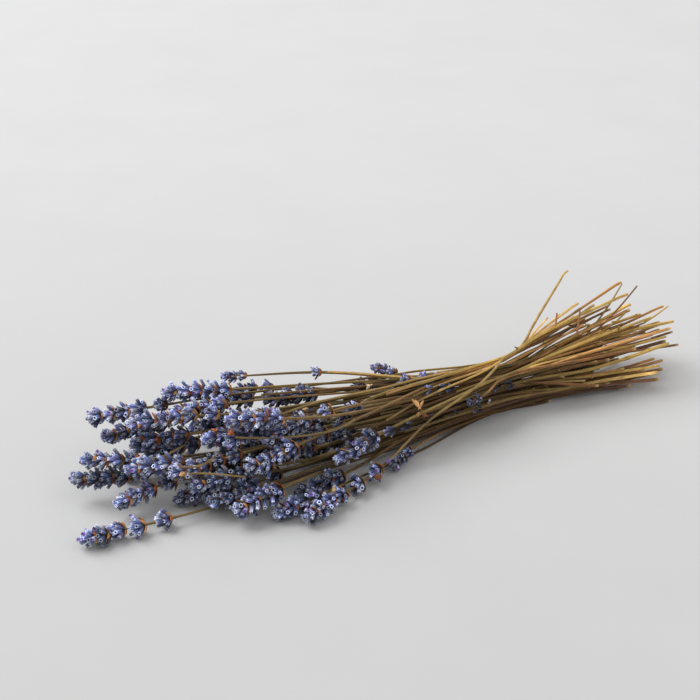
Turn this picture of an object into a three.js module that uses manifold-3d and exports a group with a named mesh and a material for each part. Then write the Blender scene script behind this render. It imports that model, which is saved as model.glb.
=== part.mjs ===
// Bunch of dried lavender, loosely gathered and lying on its side.
// Millimetres, +Z up. The flower heads point to -X and the cut ends to +X.
// Each flower head is one mesh. The stems form clumps, each of stems that press together near the waist.

import * as THREE from 'three';
import { mergeVertices } from 'three/addons/utils/BufferGeometryUtils.js';
import Module from 'manifold-3d';

// Stations along the bunch, at which every stalk has a place across it
const X_TIPS = -200;
const X_BUTTS = 200;
const STATION = 10;
const STATIONS = (X_BUTTS - X_TIPS) / STATION + 1;
const WAIST_X = 60;
const WAIST_K = (WAIST_X - X_TIPS) / STATION;

// Stems: square in section, thinner toward the flowers (half the diagonal)
const STEM_R_TIP = 0.75;
const STEM_R_BUTT = 1.15;
const STEM_AIR = 0.36;
const STEM_BEND_TOLERANCE = 0.4;
const SHORTEST_PIECE = 0.5;
const ROLL_MOST = 0.5;
const JOINT_GAP = 0.3;

// Stems on the surface: share of the thickness under their middle, and the height below which none is rolled
const LYING_SHARE = 0.6;
const UNROLLED_BELOW = 1.6;

// Clumps of stems, and the stretch of the bunch in which each clump presses together
const CLUMPS = 10;
const CLUMP_TOUCH = 1.15;
const CLUMP_OPENING = 0.6;
const TOUCH_X_FIRST = 40;
const TOUCH_X_LAST = 110;
const GATHERING = [[-1, 0.2], [0, 0.35], [1, 0.2]];

// Settling: rounds before and after the clumps form, the last of them calm
const ROUNDS_LOOSE = 160;
const ROUNDS_CLUMPED = 260;
const ROUNDS_CALM = 110;
const PUSH_SHARE = 0.5;
const SMOOTHING = 0.5;
const SMOOTHING_CALM = 0.12;
const RETURN = 0.995;
const CROSSING_LIFT = 0.6;

// Flower heads of full size
const HEAD_REACH = 4.6;
const HEAD_FLOOR = 4.6;
const CORE_R_FOOT = 1.9;
const CORE_R_TOP = 1.3;
const CORE_TOP_RISE = 3.4;
const CORE_PIECE = 6;
const WHORL_PITCH = 7.2;
const TIP_BARE = 6.2;
const NECK_BARE = 2;
const FLORET_LENGTH = 6.8;
const FLORET_R = 1.5;
const FLORET_LEAST = 0.9;
const FLORET_MORE = 0.2;
const FLORET_LEAN_LOW = 50;
const FLORET_LEAN_HIGH = 32;
const FLORET_LEAN_SCATTER = 7;
const FLORET_ROOT = 1;
const FLORET_AIR = 0.12;
const FLOOR_AIR = 0.02;
const OWN_SPACING = 2.6;
const NEIGHBOUR_REACH = 12;
const TIP_FLORET_LENGTH = 5;
const TIP_FLORET_R = 1.2;

// Loose fill inside the bunch: start and width of the ranges that its tips are spread over
const FILL_STALKS = 14;
const FILL_RANGES = [[-158, 88], [-30, 62], [9, 19]];
const FILL_STEPS = [0.8191725, 0.6710436, 0.5497005];
const FILL_LENGTH = 39;
const FILL_LENGTH_MORE = 8;
const FILL_LAST_WHORL = 2.4;
const FILL_BARE = 12;
const HEAD_FAN = 0.006;
const HEAD_FAN_SCATTER = 0.1;

// Broken stems without a flower: start and width of the ranges of their upper ends
const BARE_STALKS = 11;
const BARE_RANGES = [[-70, 90], [-20, 40], [10, 16]];

// How the shown stalks run from their last placed point to the waist and on to their cut ends
const LONG_RUN = 70;
const MIDWAY_OLD_SHARE = 0.45;
const MIDWAY_SCATTER = 2.5;
const CUT_SIDE_SCATTER_Y = 2;
const CUT_SIDE_SCATTER_Z = 1.5;

// How the loose stalks pass the waist and fan out to their cut ends
const FILL_WAIST = [0.32, 0.75];
const BARE_WAIST = [0.36, 0.9];
const WAIST_RISE = 3;
const WAIST_SCATTER = 5;
const BUTT_FAN = 1.7;
const BUTT_RISE = 1.15;
const BUTT_SCATTER = 10;
const BUTT_LOWEST = 2;
const BUTT_X_FIRST = 118;
const BUTT_X_RANGE = 56;
const BUTT_X_BY_Y = 0.45;
const WAY_SCATTER = 3;
const SEED = 11;

// Where the bunch is centred over the surface
const CENTRE_X = -7.03;
const CENTRE_Y = -0.82;

// Colours of the dried plant
const CALYX_COLOUR = 0x5a628c;
const STEM_COLOUR = 0x84683f;

// Stalks that show: tip of the head, foot of the head, points on the way, place in the waist (y, z), cut end
const SEEN = [
  [[-168, 43, 32], [-123, 41, 30], [], [8, 22], [164, 13, 30]],
  [[-165, 30, 26], [-128, 33, 24], [], [4, 16], [180, 2, 22]],
  [[-180, 20, 18], [-148, 9, 17], [], [0, 12], [176, 4, 14]],
  [[-186, 18, 17], [-154, 8, 15], [], [-2, 8], [169, -4, 9]],
  [[-195, -23, 5], [-148, -25, 6], [[-120, -24, 7]], [-3, 5], [158, -9, 5]],
  [[-153, 22, 22], [-118, 16, 24], [], [2, 14], [150, 8, 20]],
  [[-162, 6, 16], [-130, -4, 18], [], [-4, 18], [172, 8, 24]],
  [[-172, -10, 5], [-136, -9, 9], [[-100, -20, 12]], [-5, 14], [151, -9, 6]],
  [[-142, -13, 7], [-106, -14, 12], [], [-3, 10], [160, -5, 12]],
  [[-131, -24, 6], [-95, -26, 9], [[-58, -26, 12]], [-5, 9], [167, -8, 4]],
  [[-122, -39, 5], [-88, -33, 8], [], [-5, 5], [137, -14, 3]],
  [[-104, -41, 5], [-72, -36, 6], [], [-4, 0], [88, -4, 0]],
  [[-86, -38, 5], [-52, -31, 7], [[-11, -17, 8]], [-3, 12], [130, 2, 14]],
  [[-92, -56, 5], [-33, -32, 8], [[-5, -23, 19], [34, -15, 30]], [4, 29], [142, 64, 46]],
  [[-30, -27, 4], [-10, -19, 6], [], [-1, 0], [112, -5, 0]],
  [[-62, -27, 14], [-28, -19, 20], [[7, -15, 26]], [-2, 29], [170, 12, 30]],
  [[-111, -26, 22], [-77, -22, 26], [[-42, -18, 29]], [4, 28], [168, 40, 40]],
  [[-95, -12, 18], [-60, -18, 22], [], [0, 24], [176, -5, 16]],
  [[-115, -19, 30], [-77, -7, 33], [], [6, 26], [129, 30, 38]],
  [[-113, -8, 34], [-82, -16, 32], [], [0, 22], [160, 20, 30]],
  [[-90, 53, 30], [-37, 31, 30], [[-3, 12, 28]], [8, 18], [164, 24, 34]],
  [[-106, 42, 28], [-74, 34, 27], [], [10, 14], [180, 14, 20]],
  [[-84, 42, 27], [-64, 34, 28], [], [6, 10], [175, 20, 12]],
  [[-76, 28, 24], [-46, 18, 26], [], [8, 24], [150, 26, 30]],
  [[-4, 42, 27], [10, 27, 24], [[26, 18, 25]], [12, 22], [145, 36, 30]],
  [[-26, 19, 24], [-4, 23, 24], [], [10, 24], [140, 30, 34]],
  [[-3, 9, 25], [26, 1, 26], [], [3, 25], [160, 12, 16]],
  [[26, -18, 17], [38, -17, 19], [], [-5, 22], [174, 10, 24]],
  [[-128, 42, 31], [-92, 33, 30], [], [6, 20], [182, 4, 24]],
  [[-128, 28, 32], [-92, 22, 32], [], [2, 20], [184, 19, 32]],
  [[-46, -16, 27], [-32, -11, 28], [], [2, 28], [166, 30, 36]],
];

// Stalks on the far side and underneath, which hold the bunch level on the surface
const FAR = [
  [[-146, 44, 7], [-110, 36, 8], [], [8, 8], [150, 18, 6]],
  [[-112, 49, 6], [-76, 38, 7], [], [11, 6], [165, 24, 10]],
  [[-62, 40, 6], [-28, 30, 6], [], [10, 0], [135, 18, 0]],
  [[-158, 24, 6], [-126, 20, 7], [], [2, 0], [158, 4, 0]],
];

// Heads with whorls that stand apart: number of close ones, then each other's way from the tip
const HEAD_WHORLS = {
  0: [3, 30, 42],
  4: [3, 31, 44],
  7: [3, 31],
  13: [3, 28, 42, 57],
  16: [3, 29],
  20: [3, 53],
  22: [2, 18],
  24: [2, 14.5],
  26: [1, 15, 21, 27],
  27: [1, 9],
};

// Heads smaller than the rest
const HEAD_SIZES = { 14: 0.75, 20: 0.6, 22: 0.8, 24: 0.7, 25: 0.8, 26: 0.65, 27: 0.5, 30: 0.65 };
const sizeOf = (index) => HEAD_SIZES[index] ?? 1;

// Repeatable draw between 0 and 1
function drawer(seed) {
  let state = seed;
  return () => {
    state = (state + 0x6d2b79f5) | 0;
    let t = Math.imul(state ^ (state >>> 15), state | 1);
    t ^= t + Math.imul(t ^ (t >>> 7), t | 61);
    return ((t ^ (t >>> 14)) >>> 0) / 4294967296;
  };
}

const draw = drawer(SEED);
const either = (amount) => (draw() * 2 - 1) * amount;

function stemRadius(x) {
  return STEM_R_TIP + (STEM_R_BUTT - STEM_R_TIP) * (x - X_TIPS) / (X_BUTTS - X_TIPS);
}

function clamp(value, low, high) {
  return Math.min(Math.max(value, low), high);
}

// One shown stalk: its points from tip to cut end
function shownStalk([tip, neck, ways, waist, butt]) {
  const points = [tip, neck, ...ways];
  const last = points[points.length - 1];
  if (WAIST_X - last[0] > LONG_RUN) {
    const between = (a, b) => a * MIDWAY_OLD_SHARE + b * (1 - MIDWAY_OLD_SHARE) + either(MIDWAY_SCATTER);
    points.push([(last[0] + WAIST_X) / 2, between(last[1], waist[0]), between(last[2], waist[1])]);
  }
  points.push([WAIST_X, waist[0], waist[1]]);
  const y = (waist[0] + butt[1]) / 2 + either(CUT_SIDE_SCATTER_Y);
  const z = (waist[1] + butt[2]) / 2 + either(CUT_SIDE_SCATTER_Z);
  points.push([(WAIST_X + butt[0]) / 2, y, z]);
  points.push(butt);
  return { points, tip: tip[0], neck: neck[0], butt: butt[0], lies: waist[1] <= 0 && butt[2] <= 0 };
}

// A loose stalk from its last point near the flowers, through the waist and fanned out to its cut end
function looseStalk(points, waist, neck) {
  const last = points[points.length - 1];
  const y = waist[0] * BUTT_FAN + either(BUTT_SCATTER);
  const z = Math.max(BUTT_LOWEST, waist[1] * BUTT_RISE + either(BUTT_SCATTER));
  const x = BUTT_X_FIRST + BUTT_X_RANGE * draw() + BUTT_X_BY_Y * y;
  const midway = (a, b) => (a + b) / 2 + either(WAY_SCATTER);
  points.push([(last[0] + WAIST_X) / 2, midway(last[1], waist[0]), midway(last[2], waist[1])]);
  points.push([WAIST_X, waist[0], waist[1]]);
  points.push([(WAIST_X + x) / 2, midway(waist[0], y), midway(waist[1], z)], [x, y, z]);
  return { points, tip: points[0][0], neck, butt: x };
}

// Place in the waist of a loose stalk that starts at y, z
function waistOf([shareY, shareZ], y, z) {
  return [y * shareY + either(WAIST_SCATTER), z * shareZ + WAIST_RISE + either(WAIST_SCATTER)];
}

// One stalk of the fill: spread evenly through the flowers, fanned the way the bunch fans
function fillStalk(k) {
  const [x, y, z] = FILL_RANGES.map(([first, width], axis) => (
    first + width * ((0.5 + k * FILL_STEPS[axis]) % 1)
  ));
  const fan = y * HEAD_FAN + either(HEAD_FAN_SCATTER);
  const length = FILL_LENGTH + FILL_LENGTH_MORE * draw();
  const neck = [x + length, y - fan * length, z + either(WAY_SCATTER)];
  return looseStalk([[x, y, z], neck], waistOf(FILL_WAIST, y, z), neck[0]);
}

// One broken stem without a flower
function bareStalk() {
  const [x, y, z] = BARE_RANGES.map(([first, width]) => first + width * draw());
  return looseStalk([[x, y, z]], waistOf(BARE_WAIST, y, z), null);
}

// Smooth place across the bunch at x, through a stalk's points
function placeAt(points, x) {
  const count = points.length;
  let i = 0;
  while (i < count - 2 && x > points[i + 1][0]) i += 1;
  const run = (k) => points[k + 1][0] - points[k][0];
  const rise = (k, axis) => (points[k + 1][axis] - points[k][axis]) / run(k);
  const slope = (k, axis) => {
    if (k === 0) return rise(0, axis);
    if (k === count - 1) return rise(count - 2, axis);
    return (rise(k - 1, axis) * run(k) + rise(k, axis) * run(k - 1)) / (run(k - 1) + run(k));
  };
  const t = clamp((x - points[i][0]) / run(i), 0, 1);
  const t2 = t * t;
  const t3 = t2 * t;
  return [1, 2].map((axis) => (
    (2 * t3 - 3 * t2 + 1) * points[i][axis]
    + (t3 - 2 * t2 + t) * run(i) * slope(i, axis)
    + (3 * t2 - 2 * t3) * points[i + 1][axis]
    + (t3 - t2) * run(i) * slope(i + 1, axis)
  ));
}

const stalks = [...SEEN.map(shownStalk), ...FAR.map(shownStalk)];
for (let k = 0; k < FILL_STALKS; k += 1) stalks.push(fillStalk(k));
for (let k = 0; k < BARE_STALKS; k += 1) stalks.push(bareStalk());
const COUNT = stalks.length;

// Each stalk's wished and present places, room it needs and least height at every station
stalks.forEach((stalk, index) => {
  stalk.index = index;
  stalk.size = sizeOf(index);
  stalk.first = Math.floor((stalk.tip - X_TIPS) / STATION);
  stalk.last = Math.ceil((stalk.butt - X_TIPS) / STATION);
  stalk.wish = new Float64Array(2 * STATIONS);
  stalk.room = new Float64Array(STATIONS);
  stalk.least = new Float64Array(STATIONS);
  stalk.head = new Array(STATIONS).fill(false);
  for (let k = 0; k < STATIONS; k += 1) {
    const x = X_TIPS + k * STATION;
    const [y, z] = placeAt(stalk.points, x);
    stalk.wish[2 * k] = y;
    stalk.wish[2 * k + 1] = z;
    stalk.head[k] = stalk.neck !== null && x < stalk.neck + 1;
    stalk.room[k] = stalk.head[k] ? HEAD_REACH * stalk.size : stemRadius(x) + STEM_AIR;
    stalk.least[k] = stalk.head[k] ? HEAD_FLOOR * stalk.size : stemRadius(x) * LYING_SHARE;
  }
  stalk.at = Float64Array.from(stalk.wish);
  stalk.clump = -1;
});

// Higher in the waist counts as upper where two stalks cross
const waistHeight = (i) => stalks[i].wish[2 * WAIST_K + 1];
const order = stalks.map((_, i) => i).sort((a, b) => waistHeight(a) - waistHeight(b));
order.forEach((i, rank) => { stalks[i].rank = rank; });

// Pushes the stalks clear of each other and off the surface, while each keeps near its own smooth curve
function settle(rounds, calm) {
  for (let round = 0; round < rounds; round += 1) {
    const late = round >= rounds - calm;
    const shift = stalks.map(() => new Float64Array(2 * STATIONS));
    const weight = stalks.map(() => new Float64Array(STATIONS));
    for (let i = 0; i < COUNT; i += 1) {
      for (let j = i + 1; j < COUNT; j += 1) {
        const a = stalks[i];
        const b = stalks[j];
        const same = a.clump >= 0 && a.clump === b.clump;
        const bias = b.rank > a.rank ? CROSSING_LIFT : -CROSSING_LIFT;
        const wanted = (k) => {
          const room = a.room[k] + b.room[k];
          if (!same || a.head[k] || b.head[k]) return room;
          return Math.min(room, CLUMP_TOUCH + CLUMP_OPENING * Math.abs(k - touchStation[a.clump]));
        };
        const from = Math.max(a.first, b.first);
        const to = Math.min(a.last, b.last);
        for (let k = from; k < to; k += 1) {
          const y0 = b.at[2 * k] - a.at[2 * k];
          const z0 = b.at[2 * k + 1] - a.at[2 * k + 1];
          const dy = b.at[2 * k + 2] - a.at[2 * k + 2] - y0;
          const dz = b.at[2 * k + 3] - a.at[2 * k + 3] - z0;
          const t = clamp(-(y0 * dy + z0 * dz) / (dy * dy + dz * dz + 1e-12), 0, 1);
          const y = y0 + t * dy;
          const z = z0 + t * dz;
          const distance = Math.sqrt(y * y + z * z);
          const want = wanted(k) * (1 - t) + wanted(k + 1) * t;
          if (distance >= want) continue;
          const lifted = z + bias;
          const push = PUSH_SHARE * (want - distance) / (Math.sqrt(y * y + lifted * lifted) + 1e-9);
          for (const [station, share] of [[k, 1 - t], [k + 1, t]]) {
            shift[i][2 * station] -= share * push * y;
            shift[i][2 * station + 1] -= share * push * lifted;
            shift[j][2 * station] += share * push * y;
            shift[j][2 * station + 1] += share * push * lifted;
            weight[i][station] += share;
            weight[j][station] += share;
          }
        }
      }
    }
    const smooth = late ? SMOOTHING_CALM : SMOOTHING;
    const pull = late ? 1 : RETURN;
    stalks.forEach((stalk, i) => {
      const off = new Float64Array(2 * STATIONS);
      for (let n = 0; n < 2 * STATIONS; n += 1) {
        off[n] = stalk.at[n] + shift[i][n] / Math.max(1, 0.5 * weight[i][n >> 1]) - stalk.wish[n];
      }
      for (let k = stalk.first; k <= stalk.last; k += 1) {
        const before = Math.max(k - 1, stalk.first);
        const after = Math.min(k + 1, stalk.last);
        for (const n of [0, 1]) {
          const mean = (off[2 * before + n] + off[2 * after + n]) / 2;
          const here = off[2 * k + n] + smooth * (mean - off[2 * k + n]);
          stalk.at[2 * k + n] = stalk.wish[2 * k + n] + pull * here;
        }
      }
    });
    if (stalks[0].clump >= 0) gatherClumps();
    for (const stalk of stalks) {
      for (let k = stalk.first; k <= stalk.last; k += 1) {
        const height = Math.max(stalk.at[2 * k + 1], stalk.least[k]);
        stalk.at[2 * k + 1] = stalk.lies && k >= WAIST_K ? stalk.least[k] : height;
      }
    }
  }
}

// Draws each clump's stems together at the station where they press on each other
function gatherClumps() {
  for (let clump = 0; clump < CLUMPS; clump += 1) {
    const members = stalks.filter((stalk) => stalk.clump === clump);
    for (const [step, share] of GATHERING) {
      const k = touchStation[clump] + step;
      for (const n of [0, 1]) {
        let mean = 0;
        for (const stalk of members) mean += stalk.at[2 * k + n] / members.length;
        for (const stalk of members) stalk.at[2 * k + n] += share * (mean - stalk.at[2 * k + n]);
      }
    }
  }
}

// Station at which a clump's stems come nearest to each other
function nearestStation(members) {
  let nearest = 0;
  let least = Infinity;
  for (let k = (TOUCH_X_FIRST - X_TIPS) / STATION; k <= (TOUCH_X_LAST - X_TIPS) / STATION; k += 1) {
    let spread = 0;
    for (const n of [0, 1]) {
      const places = members.map((i) => stalks[i].at[2 * k + n]);
      const mean = places.reduce((sum, place) => sum + place, 0) / places.length;
      for (const place of places) spread += (place - mean) ** 2;
    }
    if (spread < least) {
      least = spread;
      nearest = k;
    }
  }
  return nearest;
}

// Stalks that keep close to each other from the waist on form a clump
const touchStation = [];
function formClumps() {
  let left = stalks.map((_, i) => i);
  const way = (i) => stalks[i].at.slice(2 * WAIST_K, 2 * (TOUCH_X_LAST - X_TIPS) / STATION + 2);
  for (let clump = 0; clump < CLUMPS; clump += 1) {
    const size = Math.floor(COUNT / CLUMPS) + (clump < COUNT % CLUMPS ? 1 : 0);
    const corner = (i) => way(i).reduce((sum, value, n) => sum + (n % 2 ? 0.5 : 1) * value, 0);
    const start = left.reduce((best, i) => (corner(i) < corner(best) ? i : best));
    const away = (i) => way(i).reduce((sum, value, n) => sum + (value - way(start)[n]) ** 2, 0);
    const members = [...left].sort((a, b) => away(a) - away(b)).slice(0, size);
    members.forEach((i) => { stalks[i].clump = clump; });
    left = left.filter((i) => !members.includes(i));
    touchStation.push(nearestStation(members));
  }
}

settle(ROUNDS_LOOSE, 0);
formClumps();
settle(ROUNDS_CLUMPED, ROUNDS_CALM);

function pointOn(stalk, x) {
  const k = clamp(Math.floor((x - X_TIPS) / STATION), stalk.first, stalk.last - 1);
  const t = (x - X_TIPS) / STATION - k;
  const y = stalk.at[2 * k] * (1 - t) + stalk.at[2 * k + 2] * t;
  const z = stalk.at[2 * k + 1] * (1 - t) + stalk.at[2 * k + 3] * t;
  return new THREE.Vector3(x, y, z);
}

// Fewest points that keep a stem's curve
function simplify(points, tolerance) {
  const first = points[0];
  const last = points[points.length - 1];
  const chord = new THREE.Line3(first, last);
  let worst = 0;
  let split = -1;
  for (let i = 1; i < points.length - 1; i += 1) {
    const near = chord.closestPointToPoint(points[i], true, new THREE.Vector3());
    const gap = near.distanceTo(points[i]);
    if (gap > worst) {
      worst = gap;
      split = i;
    }
  }
  if (worst <= tolerance) return [first, last];
  const before = simplify(points.slice(0, split + 1), tolerance);
  return [...before.slice(0, -1), ...simplify(points.slice(split), tolerance)];
}

for (const stalk of stalks) {
  const start = stalk.neck === null ? stalk.tip : stalk.neck + JOINT_GAP;
  const points = [pointOn(stalk, start)];
  for (let x = X_TIPS + Math.ceil((start - X_TIPS) / STATION) * STATION; x < stalk.butt; x += STATION) {
    if (Math.min(x - start, stalk.butt - x) > SHORTEST_PIECE) points.push(pointOn(stalk, x));
  }
  points.push(pointOn(stalk, stalk.butt));
  stalk.stem = simplify(points, STEM_BEND_TOLERANCE);
  stalk.roll = stalk.stem.some((point) => point.z < UNROLLED_BELOW) ? 0 : either(ROLL_MOST);
}

// Mesh of the given corner points and triangles
function meshOf(corners, faces) {
  const geometry = new THREE.BufferGeometry();
  const numbers = corners.flatMap((corner) => corner.toArray());
  geometry.setAttribute('position', new THREE.Float32BufferAttribute(numbers, 3));
  geometry.setIndex(faces.flat());
  return geometry;
}

// Square rod along a stem, flattened where it lies on the surface
function stemGeometry(stalk) {
  const path = stalk.stem;
  const corners = [];
  const faces = [];
  path.forEach((point, i) => {
    const back = path[Math.max(i - 1, 0)];
    const ahead = path[Math.min(i + 1, path.length - 1)];
    const along = ahead.clone().sub(back).normalize();
    const side = new THREE.Vector3(0, 0, 1).cross(along).normalize();
    const up = along.clone().cross(side);
    for (let c = 0; c < 4; c += 1) {
      const turn = Math.PI / 4 + c * Math.PI / 2 + stalk.roll;
      const r = stemRadius(point.x);
      const corner = point.clone().addScaledVector(side, r * Math.cos(turn));
      corner.addScaledVector(up, r * Math.sin(turn));
      corner.z = Math.max(corner.z, 0);
      corners.push(corner);
    }
  });
  for (let i = 0; i < path.length - 1; i += 1) {
    for (let c = 0; c < 4; c += 1) {
      const a = 4 * i + c;
      const b = 4 * i + (c + 1) % 4;
      faces.push([a, b, b + 4], [a, b + 4, a + 4]);
    }
  }
  const end = 4 * (path.length - 1);
  faces.push([0, 2, 1], [0, 3, 2], [end, end + 1, end + 2], [end, end + 2, end + 3]);
  return meshOf(corners, faces);
}

const wasm = await Module();
wasm.setup();

function toSolid(geometry) {
  const plain = mergeVertices(geometry, 1e-3);
  const vertProperties = Float32Array.from(plain.getAttribute('position').array);
  const triVerts = Uint32Array.from(plain.getIndex().array);
  return new wasm.Manifold(new wasm.Mesh({ numProp: 3, vertProperties, triVerts }));
}

function toGeometry(solid) {
  const mesh = solid.getMesh();
  const geometry = new THREE.BufferGeometry();
  geometry.setAttribute('position', new THREE.Float32BufferAttribute(mesh.vertProperties, 3));
  geometry.setIndex(Array.from(mesh.triVerts));
  return mergeVertices(geometry, 1e-3);
}

// Nearest distance between two straight pieces
function pieceDistance(p0, p1, q0, q1) {
  const d1 = p1.clone().sub(p0);
  const d2 = q1.clone().sub(q0);
  const r = p0.clone().sub(q0);
  const a = d1.dot(d1);
  const e = d2.dot(d2);
  const f = d2.dot(r);
  const c = d1.dot(r);
  const b = d1.dot(d2);
  const denominator = a * e - b * b;
  let s = denominator > 1e-9 ? clamp((b * f - c * e) / denominator, 0, 1) : 0;
  let t = (b * s + f) / e;
  if (t < 0) {
    t = 0;
    s = clamp(-c / a, 0, 1);
  } else if (t > 1) {
    t = 1;
    s = clamp((b - c) / a, 0, 1);
  }
  return p0.clone().addScaledVector(d1, s).distanceTo(q0.clone().addScaledVector(d2, t));
}

// What a floret must stay clear of: stems, the cores of the heads and the florets placed before it
const obstacles = [];
stalks.forEach((stalk, owner) => {
  for (let i = 0; i < stalk.stem.length - 1; i += 1) {
    const [from, to] = [stalk.stem[i], stalk.stem[i + 1]];
    obstacles.push({ owner, from, to, r: stemRadius(to.x) });
  }
  if (stalk.neck === null) return;
  for (let x = stalk.tip + CORE_TOP_RISE; x < stalk.neck; x += CORE_PIECE) {
    const [from, to] = [pointOn(stalk, x), pointOn(stalk, Math.min(x + CORE_PIECE, stalk.neck))];
    obstacles.push({ owner, from, to, r: CORE_R_FOOT * stalk.size });
  }
});

function isClear(stalk, from, to) {
  const fall = (to.z - from.z) / to.distanceTo(from);
  const r = FLORET_R * stalk.size;
  if (to.z - r * Math.sqrt(1 - fall * fall) < FLOOR_AIR) return false;
  const half = from.clone().lerp(to, 0.5);
  return !obstacles.some((other) => {
    const ends = [other.from.x, other.to.x];
    if (to.x - Math.max(...ends) > NEIGHBOUR_REACH) return false;
    if (Math.min(...ends) - to.x > NEIGHBOUR_REACH) return false;
    if (other.owner === stalk.index) {
      return other.half && pieceDistance(half, to, other.half, other.to) < OWN_SPACING * stalk.size;
    }
    return pieceDistance(from, to, other.from, other.to) < other.r + r + FLORET_AIR;
  });
}

// Whether an edge of one set of faces passes through a face of another that shares no corner with it
function crosses(corners, faces, others) {
  const ray = new THREE.Ray();
  const hit = new THREE.Vector3();
  return faces.some((face) => face.some((start, n) => {
    const end = face[(n + 1) % 3];
    const reach = corners[start].distanceTo(corners[end]);
    ray.set(corners[start], corners[end].clone().sub(corners[start]).divideScalar(reach));
    return others.some((other) => (
      !other.includes(start) && !other.includes(end)
      && ray.intersectTriangle(corners[other[0]], corners[other[1]], corners[other[2]], false, hit) !== null
      && hit.distanceTo(corners[start]) <= reach
    ));
  }));
}

// Ways a floret may be turned (degrees round the head, degrees forward) and shortened to stay clear
const TURNS = [[0, 0], [12, 0], [-12, 0], [0, 12], [20, 6], [-20, 6], [12, 18], [-12, 18]];
const SHORTENINGS = [1, 0.8, 0.62, 0.46];

// How far from a head's tip its whorls start
function whorlStarts({ index, size }, length) {
  const pitch = WHORL_PITCH * size;
  const first = TIP_BARE * size;
  const [close, ...apart] = HEAD_WHORLS[index] ?? (index < SEEN.length + FAR.length
    ? [Math.floor((length - first - NECK_BARE) / pitch) + 1]
    : [Math.floor((length - first - FILL_BARE) / pitch) + 1, length - FILL_LAST_WHORL]);
  return [...Array.from({ length: close }, (_, w) => first + w * pitch), ...apart];
}

// A flower head: a slim three-sided core with whorls of florets raised from its faces
function headGeometry(stalk) {
  const { size } = stalk;
  const tip = pointOn(stalk, stalk.tip);
  const neck = pointOn(stalk, stalk.neck);
  const length = tip.distanceTo(neck);
  const xAt = (fromTip) => stalk.tip + (stalk.neck - stalk.tip) * fromTip / length;
  const rings = [{ x: stalk.neck, r: STEM_R_TIP }];
  for (const start of whorlStarts(stalk, length).reverse()) {
    rings.push({ x: xAt(start), r: CORE_R_FOOT * size, foot: true });
    rings.push({ x: xAt(start - CORE_TOP_RISE * size), r: CORE_R_TOP * size });
  }
  const corners = [];
  const faces = [];
  const spin = draw() * 2;
  rings.forEach((ring, i) => {
    const centre = pointOn(stalk, ring.x);
    const ahead = pointOn(stalk, Math.max(ring.x - 2, stalk.tip));
    ring.along = ahead.sub(pointOn(stalk, Math.min(ring.x + 2, stalk.neck))).normalize();
    const side = new THREE.Vector3(0, 0, 1).cross(ring.along).normalize();
    const up = ring.along.clone().cross(side);
    ring.centre = centre;
    for (let c = 0; c < 3; c += 1) {
      const turn = spin + i * Math.PI / 3 + c * 2 * Math.PI / 3;
      const corner = centre.clone().addScaledVector(side, ring.r * Math.cos(turn));
      corners.push(corner.addScaledVector(up, ring.r * Math.sin(turn)));
    }
  });
  const core = [];
  for (let i = 0; i < rings.length - 1; i += 1) {
    for (let c = 0; c < 3; c += 1) {
      const here = 3 * i + c;
      const next = 3 * i + (c + 1) % 3;
      core.push([here, next, here + 3], [here + 3, next, next + 3]);
    }
  }
  const florets = [];
  const middleOf = ([a, b, c]) => corners[a].clone().add(corners[b]).add(corners[c]).divideScalar(3);
  const raise = (face, direction, reach, r) => {
    const [a, b, c] = face;
    const middle = middleOf(face);
    const base = corners.length;
    for (const corner of face) {
      const out = corners[corner].clone().sub(middle);
      out.addScaledVector(direction, -out.dot(direction)).setLength(r);
      corners.push(middle.clone().addScaledVector(direction, reach).add(out));
    }
    const raised = [[a, b, base + 1], [a, base + 1, base], [b, c, base + 2], [b, base + 2, base + 1]];
    raised.push([c, a, base], [c, base, base + 2], [base, base + 1, base + 2]);
    const meets = (other) => crosses(corners, raised, other) || crosses(corners, other, raised);
    if ([core, ...florets].some(meets)) {
      corners.length = base;
      return false;
    }
    florets.push(raised);
    return true;
  };
  const floret = (face, ring, lean) => {
    const middle = middleOf(face);
    const outward = middle.clone().sub(ring.centre);
    outward.addScaledVector(ring.along, -outward.dot(ring.along)).normalize();
    const across = ring.along.clone().cross(outward);
    const own = lean + either(FLORET_LEAN_SCATTER);
    const full = FLORET_LENGTH * size * (FLORET_LEAST + FLORET_MORE * draw());
    for (const short of SHORTENINGS) {
      for (const [round, forward] of TURNS) {
        const swing = round * Math.PI / 180;
        const tilt = (own - forward) * Math.PI / 180;
        const direction = ring.along.clone().multiplyScalar(Math.cos(tilt));
        direction.addScaledVector(outward, Math.sin(tilt) * Math.cos(swing));
        direction.addScaledVector(across, Math.sin(tilt) * Math.sin(swing));
        const from = middle.clone().addScaledVector(direction, FLORET_ROOT);
        const to = middle.clone().addScaledVector(direction, full * short);
        if (!isClear(stalk, from, to)) continue;
        if (!raise(face, direction, full * short, FLORET_R * size)) continue;
        const half = from.clone().lerp(to, 0.5);
        obstacles.push({ owner: stalk.index, from, to, r: FLORET_R * size, half });
        return;
      }
    }
    faces.push(face);
  };
  const top = 3 * (rings.length - 1);
  const ahead = rings[rings.length - 1].along;
  raise([top, top + 1, top + 2], ahead, TIP_FLORET_LENGTH * size, TIP_FLORET_R * size);
  core.forEach((face, n) => {
    const ring = rings[Math.floor(n / 6)];
    if (ring.foot) {
      floret(face, ring, n % 2 === 0 ? FLORET_LEAN_LOW : FLORET_LEAN_HIGH);
    } else {
      faces.push(face);
    }
  });
  faces.push([0, 2, 1]);
  return meshOf(corners, [...faces, ...florets.flat()]);
}

const bunch = new THREE.Group();
bunch.position.set(-CENTRE_X, -CENTRE_Y, 0);

function addMesh(name, geometry, colour) {
  const material = new THREE.MeshStandardMaterial({ color: colour, roughness: 0.85, metalness: 0 });
  const mesh = new THREE.Mesh(geometry, material);
  mesh.name = name;
  bunch.add(mesh);
}

const twoDigits = (n) => String(n).padStart(2, '0');

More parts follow.
